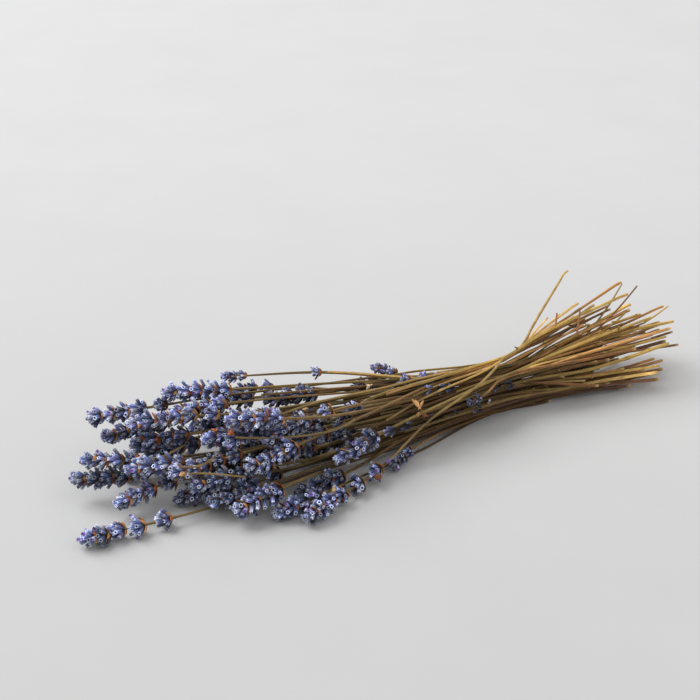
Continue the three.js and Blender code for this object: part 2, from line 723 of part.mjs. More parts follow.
stalks.filter((stalk) => stalk.neck !== null).forEach((stalk) => {
  addMesh(`head_${twoDigits(stalk.index + 1)}`, headGeometry(stalk), CALYX_COLOUR);
});

for (let clump = 0; clump < CLUMPS; clump += 1) {
  const members = stalks.filter((stalk) => stalk.clump === clump);
  let solid = toSolid(stemGeometry(members[0]));
  for (const stalk of members.slice(1)) solid = solid.add(toSolid(stemGeometry(stalk)));
  addMesh(`stems_${twoDigits(clump + 1)}`, toGeometry(solid), STEM_COLOUR);
}

export default bunch;
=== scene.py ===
# Bunch of dried lavender lying on its side: fine stems, ribbed calyces and papery bracts over the
# frame's solids. Lengths are in millimetres until a mesh is made, and the frame's metres after that.
import math

import bpy
import numpy as np
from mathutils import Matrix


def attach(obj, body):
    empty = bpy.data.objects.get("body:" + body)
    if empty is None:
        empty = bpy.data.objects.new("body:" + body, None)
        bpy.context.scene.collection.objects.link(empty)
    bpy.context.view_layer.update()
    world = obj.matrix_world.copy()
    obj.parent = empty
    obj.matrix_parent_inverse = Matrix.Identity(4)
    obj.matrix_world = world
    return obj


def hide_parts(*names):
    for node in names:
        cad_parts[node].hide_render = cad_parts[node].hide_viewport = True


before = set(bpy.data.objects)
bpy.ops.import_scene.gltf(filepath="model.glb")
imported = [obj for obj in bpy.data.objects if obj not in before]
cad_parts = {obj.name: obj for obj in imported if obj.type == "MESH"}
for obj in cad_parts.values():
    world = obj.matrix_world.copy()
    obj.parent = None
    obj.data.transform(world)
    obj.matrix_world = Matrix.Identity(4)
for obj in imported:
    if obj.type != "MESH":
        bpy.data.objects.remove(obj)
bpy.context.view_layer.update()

MM = 0.001
ROUND = 2 * math.pi
TINY = 1e-9
TINY_SQUARE = 1e-12

# Stations along the bunch, as in the part
X_TIPS = -200
X_BUTTS = 200
STATION = 10
STATIONS = (X_BUTTS - X_TIPS) // STATION + 1
WAIST_X = 60
WAIST_K = (WAIST_X - X_TIPS) // STATION

# Stems, clumps and heads, as in the part
STEM_R_TIP = 0.75
STEM_R_BUTT = 1.15
STEM_AIR = 0.36
LYING_SHARE = 0.6
CLUMPS = 10
CLUMP_TOUCH = 1.15
CLUMP_OPENING = 0.6
TOUCH_X_FIRST = 40
TOUCH_X_LAST = 110
GATHERING = ((-1, 0.2), (0, 0.35), (1, 0.2))
ROUNDS_LOOSE = 160
ROUNDS_CLUMPED = 260
ROUNDS_CALM = 110
SMOOTHING = 0.5
SMOOTHING_CALM = 0.12
RETURN = 0.995
CROSSING_LIFT = 0.6
PUSH_SHARE = 0.5
CORNER_SHARES = (1, 0.5)
HEAD_REACH = 4.6
HEAD_FLOOR = 4.6
WHORL_PITCH = 7.2
TIP_BARE = 6.2
NECK_BARE = 2
NECK_MARGIN = 1
FILL_STALKS = 14
FILL_RANGES = ((-158, 88), (-30, 62), (9, 19))
FILL_STEPS = (0.8191725, 0.6710436, 0.5497005)
FILL_LENGTH = 39
FILL_LENGTH_MORE = 8
FILL_LAST_WHORL = 2.4
FILL_BARE = 12
HEAD_FAN = 0.006
HEAD_FAN_SCATTER = 0.1
BARE_STALKS = 11
BARE_RANGES = ((-70, 90), (-20, 40), (10, 16))
LONG_RUN = 70
MIDWAY_OLD_SHARE = 0.45
MIDWAY_SCATTER = 2.5
CUT_SIDE_SCATTER = (2, 1.5)
FILL_WAIST = (0.32, 0.75)
BARE_WAIST = (0.36, 0.9)
WAIST_RISE = 3
WAIST_SCATTER = 5
BUTT_FAN = 1.7
BUTT_RISE = 1.15
BUTT_SCATTER = 10
BUTT_LOWEST = 2
BUTT_X_FIRST = 118
BUTT_X_RANGE = 56
BUTT_X_BY_Y = 0.45
WAY_SCATTER = 3
SEED = 11
DRAW_STEP = 0x6D2B79F5
WORD = 0xFFFFFFFF
CENTRE = np.array([-7.03, -0.82, 0.0])

# Stalks that show: tip of the head, foot of the head, points on the way, place in the waist (y, z), cut end
SEEN = [
    [[-168, 43, 32], [-123, 41, 30], [8, 22], [164, 13, 30]],
    [[-165, 30, 26], [-128, 33, 24], [4, 16], [180, 2, 22]],
    [[-180, 20, 18], [-148, 9, 17], [0, 12], [176, 4, 14]],
    [[-186, 18, 17], [-154, 8, 15], [-2, 8], [169, -4, 9]],
    [[-195, -23, 5], [-148, -25, 6], [-120, -24, 7], [-3, 5], [158, -9, 5]],
    [[-153, 22, 22], [-118, 16, 24], [2, 14], [150, 8, 20]],
    [[-162, 6, 16], [-130, -4, 18], [-4, 18], [172, 8, 24]],
    [[-172, -10, 5], [-136, -9, 9], [-100, -20, 12], [-5, 14], [151, -9, 6]],
    [[-142, -13, 7], [-106, -14, 12], [-3, 10], [160, -5, 12]],
    [[-131, -24, 6], [-95, -26, 9], [-58, -26, 12], [-5, 9], [167, -8, 4]],
    [[-122, -39, 5], [-88, -33, 8], [-5, 5], [137, -14, 3]],
    [[-104, -41, 5], [-72, -36, 6], [-4, 0], [88, -4, 0]],
    [[-86, -38, 5], [-52, -31, 7], [-11, -17, 8], [-3, 12], [130, 2, 14]],
    [[-92, -56, 5], [-33, -32, 8], [-5, -23, 19], [34, -15, 30], [4, 29], [142, 64, 46]],
    [[-30, -27, 4], [-10, -19, 6], [-1, 0], [112, -5, 0]],
    [[-62, -27, 14], [-28, -19, 20], [7, -15, 26], [-2, 29], [170, 12, 30]],
    [[-111, -26, 22], [-77, -22, 26], [-42, -18, 29], [4, 28], [168, 40, 40]],
    [[-95, -12, 18], [-60, -18, 22], [0, 24], [176, -5, 16]],
    [[-115, -19, 30], [-77, -7, 33], [6, 26], [129, 30, 38]],
    [[-113, -8, 34], [-82, -16, 32], [0, 22], [160, 20, 30]],
    [[-90, 53, 30], [-37, 31, 30], [-3, 12, 28], [8, 18], [164, 24, 34]],
    [[-106, 42, 28], [-74, 34, 27], [10, 14], [180, 14, 20]],
    [[-84, 42, 27], [-64, 34, 28], [6, 10], [175, 20, 12]],
    [[-76, 28, 24], [-46, 18, 26], [8, 24], [150, 26, 30]],
    [[-4, 42, 27], [10, 27, 24], [26, 18, 25], [12, 22], [145, 36, 30]],
    [[-26, 19, 24], [-4, 23, 24], [10, 24], [140, 30, 34]],
    [[-3, 9, 25], [26, 1, 26], [3, 25], [160, 12, 16]],
    [[26, -18, 17], [38, -17, 19], [-5, 22], [174, 10, 24]],
    [[-128, 42, 31], [-92, 33, 30], [6, 20], [182, 4, 24]],
    [[-128, 28, 32], [-92, 22, 32], [2, 20], [184, 19, 32]],
    [[-46, -16, 27], [-32, -11, 28], [2, 28], [166, 30, 36]],
]

# Stalks on the far side and underneath
FAR = [
    [[-146, 44, 7], [-110, 36, 8], [8, 8], [150, 18, 6]],
    [[-112, 49, 6], [-76, 38, 7], [11, 6], [165, 24, 10]],
    [[-62, 40, 6], [-28, 30, 6], [10, 0], [135, 18, 0]],
    [[-158, 24, 6], [-126, 20, 7], [2, 0], [158, 4, 0]],
]

# Heads with whorls that stand apart: number of close ones, then each other's way from the tip
HEAD_WHORLS = {
    0: [3, 30, 42], 4: [3, 31, 44], 7: [3, 31], 13: [3, 28, 42, 57], 16: [3, 29],
    20: [3, 53], 22: [2, 18], 24: [2, 14.5], 26: [1, 15, 21, 27], 27: [1, 9],
}

# Heads smaller than the rest
HEAD_SIZES = {14: 0.75, 20: 0.6, 22: 0.8, 24: 0.7, 25: 0.8, 26: 0.65, 27: 0.5, 30: 0.65}

# View of the photograph
VIEW_ELEVATION = 27
VIEW_AZIMUTH = -27
VIEW_LENS = 70
VIEW_SENSOR = 36
VIEW_DISTANCE = 840
VIEW_TARGET = np.array([15.0, 105.0, 0.0])
VIEW_PIXELS = 700
VIEW_REACH = 50

azimuth, elevation = math.radians(VIEW_AZIMUTH), math.radians(VIEW_ELEVATION)
VIEW_RIGHT = np.array([math.cos(azimuth), math.sin(azimuth), 0.0])
VIEW_BACK = np.array([
    math.sin(azimuth) * math.cos(elevation),
    -math.cos(azimuth) * math.cos(elevation),
    math.sin(elevation),
])
VIEW_UP = np.cross(VIEW_BACK, VIEW_RIGHT)
EYE = VIEW_TARGET + VIEW_BACK * VIEW_DISTANCE


def add_object(name, data):
    thing = bpy.data.objects.new(name, data)
    bpy.context.scene.collection.objects.link(thing)
    return thing


def make_camera():
    """The photograph's view, aimed by a point on the surface behind the bunch."""
    data = bpy.data.cameras.new("camera")
    data.lens = VIEW_LENS
    data.sensor_width = VIEW_SENSOR
    data.clip_end = VIEW_REACH
    camera = add_object("camera", data)
    camera.location = (EYE - CENTRE) * MM
    camera.rotation_euler = (math.radians(90 - VIEW_ELEVATION), 0, azimuth)
    bpy.context.scene.camera = camera


make_camera()


def draws(state):
    """Repeatable draws between 0 and 1."""
    while True:
        state = (state + DRAW_STEP) & WORD
        t = ((state ^ (state >> 15)) * (state | 1)) & WORD
        t ^= (t + (((t ^ (t >> 7)) * (t | 61)) & WORD)) & WORD
        yield ((t ^ (t >> 14)) & WORD) / (WORD + 1)


draw = draws(SEED).__next__


def either(amount):
    """A draw up to amount either way."""
    return (draw() * 2 - 1) * amount


def stem_radius(x):
    return STEM_R_TIP + (STEM_R_BUTT - STEM_R_TIP) * (x - X_TIPS) / (X_BUTTS - X_TIPS)


class Stalk:
    """One stalk: the points that it is wished through, its ends and the stations that it passes."""

    def __init__(self, points, tip, neck, butt, lies=False):
        self.points = points
        self.tip = tip
        self.neck = neck
        self.butt = butt
        self.lies = lies
        self.first = math.floor((tip - X_TIPS) / STATION)
        self.last = math.ceil((butt - X_TIPS) / STATION)


def shown_stalk(row):
    """A stalk that shows, through its measured points."""
    *points, waist, butt = row
    tip, neck, last = points[0], points[1], points[-1]
    if WAIST_X - last[0] > LONG_RUN:
        between = [
            old * MIDWAY_OLD_SHARE + new * (1 - MIDWAY_OLD_SHARE) + either(MIDWAY_SCATTER)
            for old, new in zip(last[1:], waist)
        ]
        points.append([(last[0] + WAIST_X) / 2, *between])
    side = [(a + b) / 2 + either(most) for a, b, most in zip(waist, butt[1:], CUT_SIDE_SCATTER)]
    points += [[WAIST_X, *waist], [(WAIST_X + butt[0]) / 2, *side], butt]
    return Stalk(points, tip[0], neck[0], butt[0], waist[1] <= 0 and butt[2] <= 0)


def loose_stalk(points, waist_shares, neck):
    """A loose stalk from its points by the flowers, through the waist and fanned out to its cut end."""
    (_, tip_y, tip_z), last = points[0], points[-1]
    waist_y = tip_y * waist_shares[0] + either(WAIST_SCATTER)
    waist_z = tip_z * waist_shares[1] + WAIST_RISE + either(WAIST_SCATTER)
    y = waist_y * BUTT_FAN + either(BUTT_SCATTER)
    z = max(BUTT_LOWEST, waist_z * BUTT_RISE + either(BUTT_SCATTER))
    x = BUTT_X_FIRST + BUTT_X_RANGE * draw() + BUTT_X_BY_Y * y

    def midway(a, b):
        return (a + b) / 2 + either(WAY_SCATTER)

    points += [
        [(last[0] + WAIST_X) / 2, midway(last[1], waist_y), midway(last[2], waist_z)],
        [WAIST_X, waist_y, waist_z],
        [(WAIST_X + x) / 2, midway(waist_y, y), midway(waist_z, z)],
        [x, y, z],
    ]
    return Stalk(points, points[0][0], neck, x)


def fill_stalk(k):
    """One stalk of the fill: spread evenly through the flowers, fanned the way the bunch fans."""
    x, y, z = (
        first + width * ((0.5 + k * step) % 1) for (first, width), step in zip(FILL_RANGES, FILL_STEPS)
    )
    fan = y * HEAD_FAN + either(HEAD_FAN_SCATTER)
    length = FILL_LENGTH + FILL_LENGTH_MORE * draw()
    neck = [x + length, y - fan * length, z + either(WAY_SCATTER)]
    return loose_stalk([[x, y, z], neck], FILL_WAIST, neck[0])


def bare_stalk():
    """One broken stem without a flower."""
    return loose_stalk([[first + width * draw() for first, width in BARE_RANGES]], BARE_WAIST, None)


def curve(t, here, there, slope_here, slope_there, run=1):
    """Smooth run from here to there at share t of the way."""
    t2 = t * t
    t3 = t2 * t
    return (
        (2 * t3 - 3 * t2 + 1) * here + (t3 - 2 * t2 + t) * run * slope_here
        + (3 * t2 - 2 * t3) * there + (t3 - t2) * run * slope_there
    )


def wished_places(points):
    """Smooth places across the bunch at every station, through a stalk's points."""
    points = np.array(points, float)
    xs, across = points[:, 0], points[:, 1:]
    run = np.diff(xs)[:, None]
    rise = np.diff(across, axis=0) / run
    bend = (rise[:-1] * run[1:] + rise[1:] * run[:-1]) / (run[:-1] + run[1:])
    slope = np.concatenate([rise[:1], bend, rise[-1:]])
    k = (xs[1:-1] < station_x[:, None]).sum(1)
    t = np.clip((station_x - xs[k]) / run[k, 0], 0, 1)[:, None]
    return curve(t, across[k], across[k + 1], slope[k], slope[k + 1], run[k])


stalks = [shown_stalk(row) for row in SEEN + FAR]
stalks += [fill_stalk(k) for k in range(FILL_STALKS)]
stalks += [bare_stalk() for _ in range(BARE_STALKS)]
COUNT = len(stalks)
station_x = np.arange(STATIONS) * STATION + X_TIPS

wish = np.array([wished_places(s.points) for s in stalks])
size_of = np.array([HEAD_SIZES.get(i, 1.0) for i in range(COUNT)])
is_head = np.array([[s.neck is not None and x < s.neck + NECK_MARGIN for x in station_x] for s in stalks])
stem_r = stem_radius(station_x)[None, :]
room = np.where(is_head, HEAD_REACH * size_of[:, None], stem_r + STEM_AIR)
least = np.where(is_head, HEAD_FLOOR * size_of[:, None], stem_r * LYING_SHARE)
firsts = np.array([s.first for s in stalks])
lasts = np.array([s.last for s in stalks])
stations = np.arange(STATIONS)[None, :]
active = (stations >= firsts[:, None]) & (stations <= lasts[:, None])
rank = np.argsort(np.argsort(wish[:, WAIST_K, 1], kind="stable"), kind="stable")
one, two = np.triu_indices(COUNT, 1)
ends_in_pair = np.zeros((COUNT, len(one)))
ends_in_pair[two, np.arange(len(one))] = 1
ends_in_pair[one, np.arange(len(one))] = -1
together = active[one] & active[two]
both = together[:, :-1] & together[:, 1:]
bias = np.where(rank[two] > rank[one], CROSSING_LIFT, -CROSSING_LIFT)[:, None]
lying = np.array([s.lies for s in stalks])[:, None] & (stations >= WAIST_K) & active


def settle(at, rounds, calm, clump_of=None, touch=None):
    """Pushes the stalks clear of each other and off the surface, each near its own smooth curve."""
    wanted = room[one] + room[two]
    if clump_of is not None:
        same = (clump_of[one] == clump_of[two])[:, None] & ~is_head[one] & ~is_head[two]
        near = CLUMP_TOUCH + CLUMP_OPENING * np.abs(stations - touch[clump_of[one]][:, None])
        wanted = np.where(same, np.minimum(wanted, near), wanted)
    before = np.clip(stations - 1, firsts[:, None], lasts[:, None])
    after = np.clip(stations + 1, firsts[:, None], lasts[:, None])
    rows = np.arange(COUNT)[:, None]
    for turn in range(rounds):
        late = turn >= rounds - calm
        offset = at[two] - at[one]
        start = offset[:, :-1]
        change = offset[:, 1:] - start
        t = np.clip(-(start * change).sum(2) / ((change * change).sum(2) + TINY_SQUARE), 0, 1)
        y = start[..., 0] + t * change[..., 0]
        z = start[..., 1] + t * change[..., 1]
        distance = np.sqrt(y * y + z * z)
        want = wanted[:, :-1] * (1 - t) + wanted[:, 1:] * t
        pushed = both & (distance < want)
        lifted = z + bias
        push = PUSH_SHARE * (want - distance) / (np.sqrt(y * y + lifted * lifted) + TINY)
        push = np.where(pushed, push, 0)
        shift = np.zeros_like(at)
        weight = np.zeros((COUNT, STATIONS))
        for share, part in ((1 - t, slice(0, -1)), (t, slice(1, None))):
            shift[:, part, 0] += ends_in_pair @ (share * push * y)
            shift[:, part, 1] += ends_in_pair @ (share * push * lifted)
            weight[:, part] += np.abs(ends_in_pair) @ (share * pushed)
        smooth = SMOOTHING_CALM if late else SMOOTHING
        pull = 1 if late else RETURN
        off = at + shift / np.maximum(1, PUSH_SHARE * weight)[..., None] - wish
        mean = (off[rows, before] + off[rows, after]) / 2
        at = np.where(active[..., None], wish + pull * (off + smooth * (mean - off)), at)
        if clump_of is not None:
            for clump in range(CLUMPS):
                members = np.flatnonzero(clump_of == clump)
                for step, share in GATHERING:
                    k = touch[clump] + step
                    middle = at[members, k].mean(0)
                    at[members, k] += share * (middle - at[members, k])
        height = np.maximum(at[..., 1], least)
        at[..., 1] = np.where(active, np.where(lying, least, height), at[..., 1])
    return at


def form_clumps(at):
    """Stalks that keep close from the waist on form a clump, which presses together where nearest."""
    first, last = (TOUCH_X_FIRST - X_TIPS) // STATION, (TOUCH_X_LAST - X_TIPS) // STATION
    left = list(range(COUNT))
    ways = at[:, WAIST_K:last + 1]
    corner = (ways * CORNER_SHARES).sum((1, 2))
    clump_of = np.zeros(COUNT, int)
    touch = []
    for clump in range(CLUMPS):
        size = COUNT // CLUMPS + (clump < COUNT % CLUMPS)
        start = min(left, key=lambda i: corner[i])
        away = ((ways - ways[start]) ** 2).sum((1, 2))
        members = sorted(left, key=lambda i: away[i])[:size]
        clump_of[members] = clump
        left = [i for i in left if i not in members]
        places = at[members, first:last + 1]
        spread = ((places - places.mean(0)) ** 2).sum((0, 2))
        touch.append(first + int(np.argmin(spread)))
    return clump_of, np.array(touch)


settled = settle(wish.copy(), ROUNDS_LOOSE, 0)
clump_of, touch = form_clumps(settled)
settled = settle(settled, ROUNDS_CLUMPED, ROUNDS_CALM, clump_of, touch)

# Finer forms of a stem. A wave is its steps from crest to crest and its amount.
STEM_SIDES = 8
STEM_STEP = 3.0
STEM_LEAST_STEPS = 8
STEM_IN_HEAD = 0.5
STEM_HOLLOW = 0.84
STEM_SLENDER = (0.74, 1.0)
STEM_WAVE = (8, 0.045)
STEM_TWIST_WAVE = (14, 0.25)
STEM_TINT_WAVE = (4, 0.12)
STEM_SHADES = (0.7, 1.4)
STEM_PITH_SHADES = (0.7, 1.1)
STEM_TONE_X = (-60, 0, 60, 110, 150)
STEM_TONE = (0.94, 0.98, 1.42, 1.68, 1.95)
GREEN_X = 30
GREEN_RUN = 120
GREEN_MOST = 0.8
GREEN_SHADES = (0.75, 1.15)
EDGE_TINTS = (1.12, 0.84)
GRAIN_RUN = 9.0
GRAIN_SCATTER = 50
STRAY = 13
KNOT_PLACES = ((70, 105), (112, 150))
KNOT_CLEAR = 8
KNOT_SWELL = 0.32
KNOT_LENGTH = 2.2
KNOT_DARK = 0.35
STUB_SHARE = 0.3
STUB_STEPS = 5
STUB_TURNS = (0.2, math.pi - 0.2)
STUB_LENGTHS = (2, 6)
STUB_LEANS = (0.5, 1.1)
STUB_BEND = 0.6
STUB_RADII = (0.62, 0.42)
STUB_HOLLOW = 0.85
STUB_SHADES = (0.55, 0.9)
STUB_PITH = 0.6
THIN_SIDES = 6
HEADING_RUN = 2
STEEP = 0.98

# Thinner stems in the gaps between the others, in the waist and between the pairs of BRIDGES
FILLER_STEMS = 44
FILLER_STATIONS = (WAIST_K, WAIST_K + 5)
FILLER_NEIGHBOURS = 3
FILLER_R = 0.66
FILLER_SIZES = (0.85, 1.15)
FILLER_WAVE = (8, 0.05)
FILLER_SHADES = (0.6, 1.25)
FILLER_PITH_SHADES = (0.6, 1.0)
FILLER_STARTS = (4, 50)
FILLER_ENDS = (0, 24)
FILLER_EVENNESS = 6.0
FILLER_LEAST = 70
BRIDGES = ((24, 19), (23, 30), (25, 15), (29, 27), (57, 28), (0, 17), (18, 57), (19, 41), (23, 0), (15, 27))

# Calyces. A profile is height and radius from foot to rim, for a length and size of 1. Each kind has its
# outer profile, the one inside and how far its bottom is sunk below that.
CALYX_SIDES = 10
CALYX_LENGTH = 5.9
CALYX_R = 1.08
CALYX_RIB = 0.09
CALYX_TEETH = 5
CALYX_TOOTH = 0.05
CALYX_KINDS = {"open": 0.5, "shut": 0.4, "petal": 0.1}
LOW_PROFILE = [(0.0, 0.34), (0.10, 0.66), (0.34, 0.90)]
OPEN_PROFILE = LOW_PROFILE + [(0.62, 0.96), (0.86, 0.90), (1.0, 0.99)]
SHUT_PROFILE = LOW_PROFILE + [(0.62, 0.97), (0.87, 0.88), (0.99, 0.66)]
CALYX_PROFILES = {
    "open": (OPEN_PROFILE, [(0.985, 0.66), (0.88, 0.52), (0.66, 0.42)], 0.02),
    "shut": (SHUT_PROFILE, [(1.04, 0.40), (1.02, 0.22), (0.96, 0.12)], 0.02),
    "petal": (OPEN_PROFILE, [(0.98, 0.72), (1.08, 0.60), (1.20, 0.74)], 0.25),
}
RIM_RING = len(OPEN_PROFILE) - 1
CALYX_WIDTHS = (0.84, 1.12)
CALYX_FLATNESS = (0.68, 1.0)
CALYX_BOWS = (0.1, 0.7)
CALYX_SHADES = (0.5, 2.1)
# How strongly painted shade darkens the calyces
CALYX_PAINTED_SHADE_POWER = 1.75
CALYX_GREYS = 0.22
CALYX_FOOT_ENDS = 2.2
# Ribs lighter and grooves darker: painted highlight on the ribs, painted shade in the grooves
CALYX_RIB_HIGHLIGHT_AND_SHADE = (1.75, 0.5)
# Darker toward the foot: partly the calyx's own tone, partly painted shade deep in the whorl
CALYX_RISE_TONE_AND_SHADE = (0.2, 1.05)
# Brightness of the painted rim highlight, by the calyx's tone
RIM_HIGHLIGHT_TINTS = (0.15, 0.85)
CALYX_GRAIN = (1.5, 1.5, 0.8)
# Painted shade inside a petal calyx and a shut one
PETAL_SHADE = 0.8
SHUT_SHADE = 0.6

# Rows of calyces in a whorl: name, number, lean in degrees and where its foot is along the head
WHORL_ROWS = (("inner", 6, 24, 1.4), ("outer", 10, 55, 0.2), ("between", 3, 66, -2.5))
WHORL_LEAN = 7
WHORL_SHIFT = 0.8
WHORL_SIZES = (0.84, 1.08)
FIRST_WHORL_SIZE = 0.85
CALYX_LEAN = 15
CALYX_SHIFT = 0.9
CALYX_SPREAD = 0.3
CALYX_SIZES = (0.76, 1.12)
MISSING = 0.06
TIP_CALYCES = 5
TIP_BELOW = 3.2
TIP_SPREAD = 0.4
TIP_LEAN = 0.38
TIP_SIZES = (0.66, 0.86)
RACHIS_STEPS = 14
RACHIS_ENDS = (0.6, 3.4)
RACHIS_RADII = (STEM_R_TIP + 0.12, 0.45)
RACHIS_HOLLOW = 0.9
RACHIS_SHADES = (0.6, 1.0)

# How a calyx finds room: turns round the head and forward in degrees, then shorter lengths
TURNS = ((0, 0), (14, 0), (-14, 0), (0, -12), (26, -6), (-26, -6), (0, 12), (14, -22), (-14, -22), (0, -30))
SHORTENINGS = (1.0, 0.84, 0.66)
LEAN_LIMITS = (8, 78)
ROOT_R = 0.6
OWN_GAP = 1.42
OTHER_GAP = 0.9
ROD_FROM = 0.45
TRIED_FROM = 0.35
NEAR_REACH = 13
MOUTH_AIR = 0.05
FLOOR_AIR = 0.03
OBSTACLES_MOST = 12000
OBSTACLE_STEP = 6.0
OBSTACLE_FIRST = 2

# Bracts. A row is its place along the blade and half its width.
BRACTS = 4
BRACT_ROWS = ((0.0, 0.5), (0.25, 1.35), (0.55, 1.5), (0.82, 0.85), (1.0, 0.08))
BRACT_LENGTH = 4.5
BRACT_LENGTHS = (0.7, 1.2)
BRACT_WIDTHS = (0.85, 1.25)
BRACT_THICKNESS = 0.12
BRACT_LEANS = (0.8, 1.15)
BRACT_CURLS = (-0.5, 0.9)
BRACT_CURL = 0.7
BRACT_CUP = 0.55
BRACT_SPREAD = 0.5
BRACT_SHADES = (0.75, 1.2)
BRACT_ROOT = (0.5, 1.4)
BRACT_TINTS = (0.7, 0.5, 0.12)
BRACT_GRAIN = 0.6

# Painted shade deep in the bunch: colours are darkened under heads and stems that lie close over a place
PAINTED_SHADE_REACH = 12.0
PAINTED_SHADE_LEAST_RISE = 1.5
PAINTED_SHADE_BY_STEM = 0.44
PAINTED_SHADE_STRENGTH = 0.36

# Thin stalks that lie over the flowers, each by the pixels of the photograph that it passes
CROSSINGS = (
    ((156, 458), (166, 455), (176, 450), (188, 443), (199, 436)),
    ((175, 480), (187, 475), (201, 473), (222, 475), (245, 477)),
    ((179, 467), (193, 467), (204, 464), (212, 459), (219, 452)),
    ((236, 437), (250, 439), (279, 437), (312, 435), (332, 430), (356, 419)),
)
CROSSING_R = 0.62
CROSSING_LIFT_R = 1.5
CROSSING_STEPS = 8
CROSSING_WAVE = (4, 0.1)
CROSSING_SHADES = (1.0, 1.3)
SIGHT_R = 0.3

# Side shoots and loose stalks that stand up: pixels of foot and end, and how far the end leans back
SHOOTS = (
    ((555, 327), (557, 313), 1),
    ((577, 335), (580, 311), 1),
    ((583, 338), (622, 284), 36),
    ((590, 336), (637, 286), 34),
    ((597, 334), (625, 313), 14),
    ((645, 322), (668, 306), 14),
    ((612, 322), (637, 314), 6),
)
SHOOT_BEND = 2.2
SHOOT_STEPS = 10
SHOOT_SUNK = 1
SHOOT_UPRIGHT = 2
SHOOT_RADII = (0.72, 0.55)
SHOOT_HOLLOW = 0.8
SHOOT_SHADES = (0.9, 1.4)

# Scraps caught in the bunch: pixel, form, length and colour
SCRAPS = (
    ((419, 407), "blades", 8.5, (180, 134, 84)),
    ((424, 415), "blades", 6.5, (150, 100, 60)),
    ((369, 386), "blades", 3.0, (204, 178, 146)),
    ((303, 409), "blades", 3.6, (196, 158, 114)),
    ((334, 490), "blades", 3.8, (206, 174, 128)),
    ((216, 430), "blades", 4.8, (168, 92, 52)),
    ((232, 433), "blades", 4.0, (150, 84, 50)),
    ((182, 474), "blades", 3.0, (190, 148, 98)),
    ((343, 500), "bud", 3.6, (104, 60, 40)),
    ((378, 477), "bud", 4.2, (112, 66, 36)),
    ((388, 461), "petal", 3.6, (134, 104, 186)),
    ((488, 402), "petal", 3.4, (204, 194, 216)),
    ((515, 378), "bud", 1.3, (226, 220, 206)),
)
SCRAP_BLADES = {"blades": 4, "petal": 2}
SCRAP_OUT = 0.3
SCRAP_RISE = 0.6
SCRAP_TOWARD_EYE = 0.2
SCRAP_FEET = (0.3, 0.8)
SCRAP_LENGTHS = (1.0, 1.5)
SCRAP_WIDTH = 0.5
SCRAP_SHADES = (0.75, 1.1)
BUD_RINGS = 7
BUD_R = 0.42
BUD_R_END = 0.05
BUD_HOLLOW = 0.94
BUD_SHADES = (0.8, 0.4)

# Single whorls caught among the stems: pixel, and number of calyces
CAUGHT = (
    ((407, 425), 6), ((389, 431), 6), ((466, 401), 4), ((455, 415), 3), ((511, 384), 4), ((498, 386), 3),
    ((430, 389), 5), ((440, 388), 5), ((450, 389), 4), ((347, 437), 4), ((478, 409), 3),
)
CAUGHT_SIZE = 0.72
CAUGHT_SUNK = 0.6
CAUGHT_RISES = (-0.5, 0.2)
CAUGHT_LEANS = (0.3, 0.9)
CAUGHT_RUN = 4

rng = np.random.default_rng(SEED)


def pick(ends):
    """A random value between two ends."""
    return rng.uniform(*ends)


def scatter(amount):
    """A random value up to amount either way."""
    return rng.uniform(-amount, amount)


def linear(red, green, blue):
    """A colour written from 0 to 255 as seen, as the shader's linear values."""
    seen = np.array([red, green, blue]) / 255
    return np.where(seen <= 0.04045, seen / 12.92, ((seen + 0.055) / 1.055) ** 2.4)


# Calyx foot: partly its own darker tone, partly painted shade deep in the whorl
CALYX_FOOT_TONE_AND_SHADE = linear(40, 34, 46)
CALYX_BLUE = linear(97, 112, 160)
CALYX_VIOLET = linear(100, 98, 143)
CALYX_GREY = linear(138, 140, 155)
# Pale rim: partly the rim's pale hairs, partly a painted highlight
CALYX_RIM_HIGHLIGHT = linear(200, 208, 230)
# Near-black inside of an open calyx: painted shade in its mouth
CALYX_MOUTH_SHADE = linear(18, 17, 32)
PETAL = linear(128, 100, 162)
BRACT_COLOURS = [linear(*seen) for seen in (
    (176, 98, 52), (150, 84, 46), (186, 128, 78), (112, 68, 42), (158, 116, 76),
)]
STEM_COLOURS = [linear(*seen) for seen in (
    (188, 152, 88), (158, 130, 68), (144, 100, 56), (180, 132, 76), (136, 114, 58), (114, 76, 42),
    (154, 110, 60),
)]
STEM_NEAR_HEAD = linear(127, 105, 64)
STEM_PITH = linear(206, 174, 118)
SHOOT_COLOUR = linear(146, 98, 64)
STRAY_COLOUR = linear(150, 122, 72)


def unit(vector):
    return vector / np.linalg.norm(vector)


def rings_to_faces(rings, sides):
    """Quads between neighbouring rings of one tube."""
    faces = []
    for ring in range(rings - 1):
        for side in range(sides):
            a = ring * sides + side
            b = ring * sides + (side + 1) % sides
            faces.append((a, b, b + sides, a + sides))
    return faces


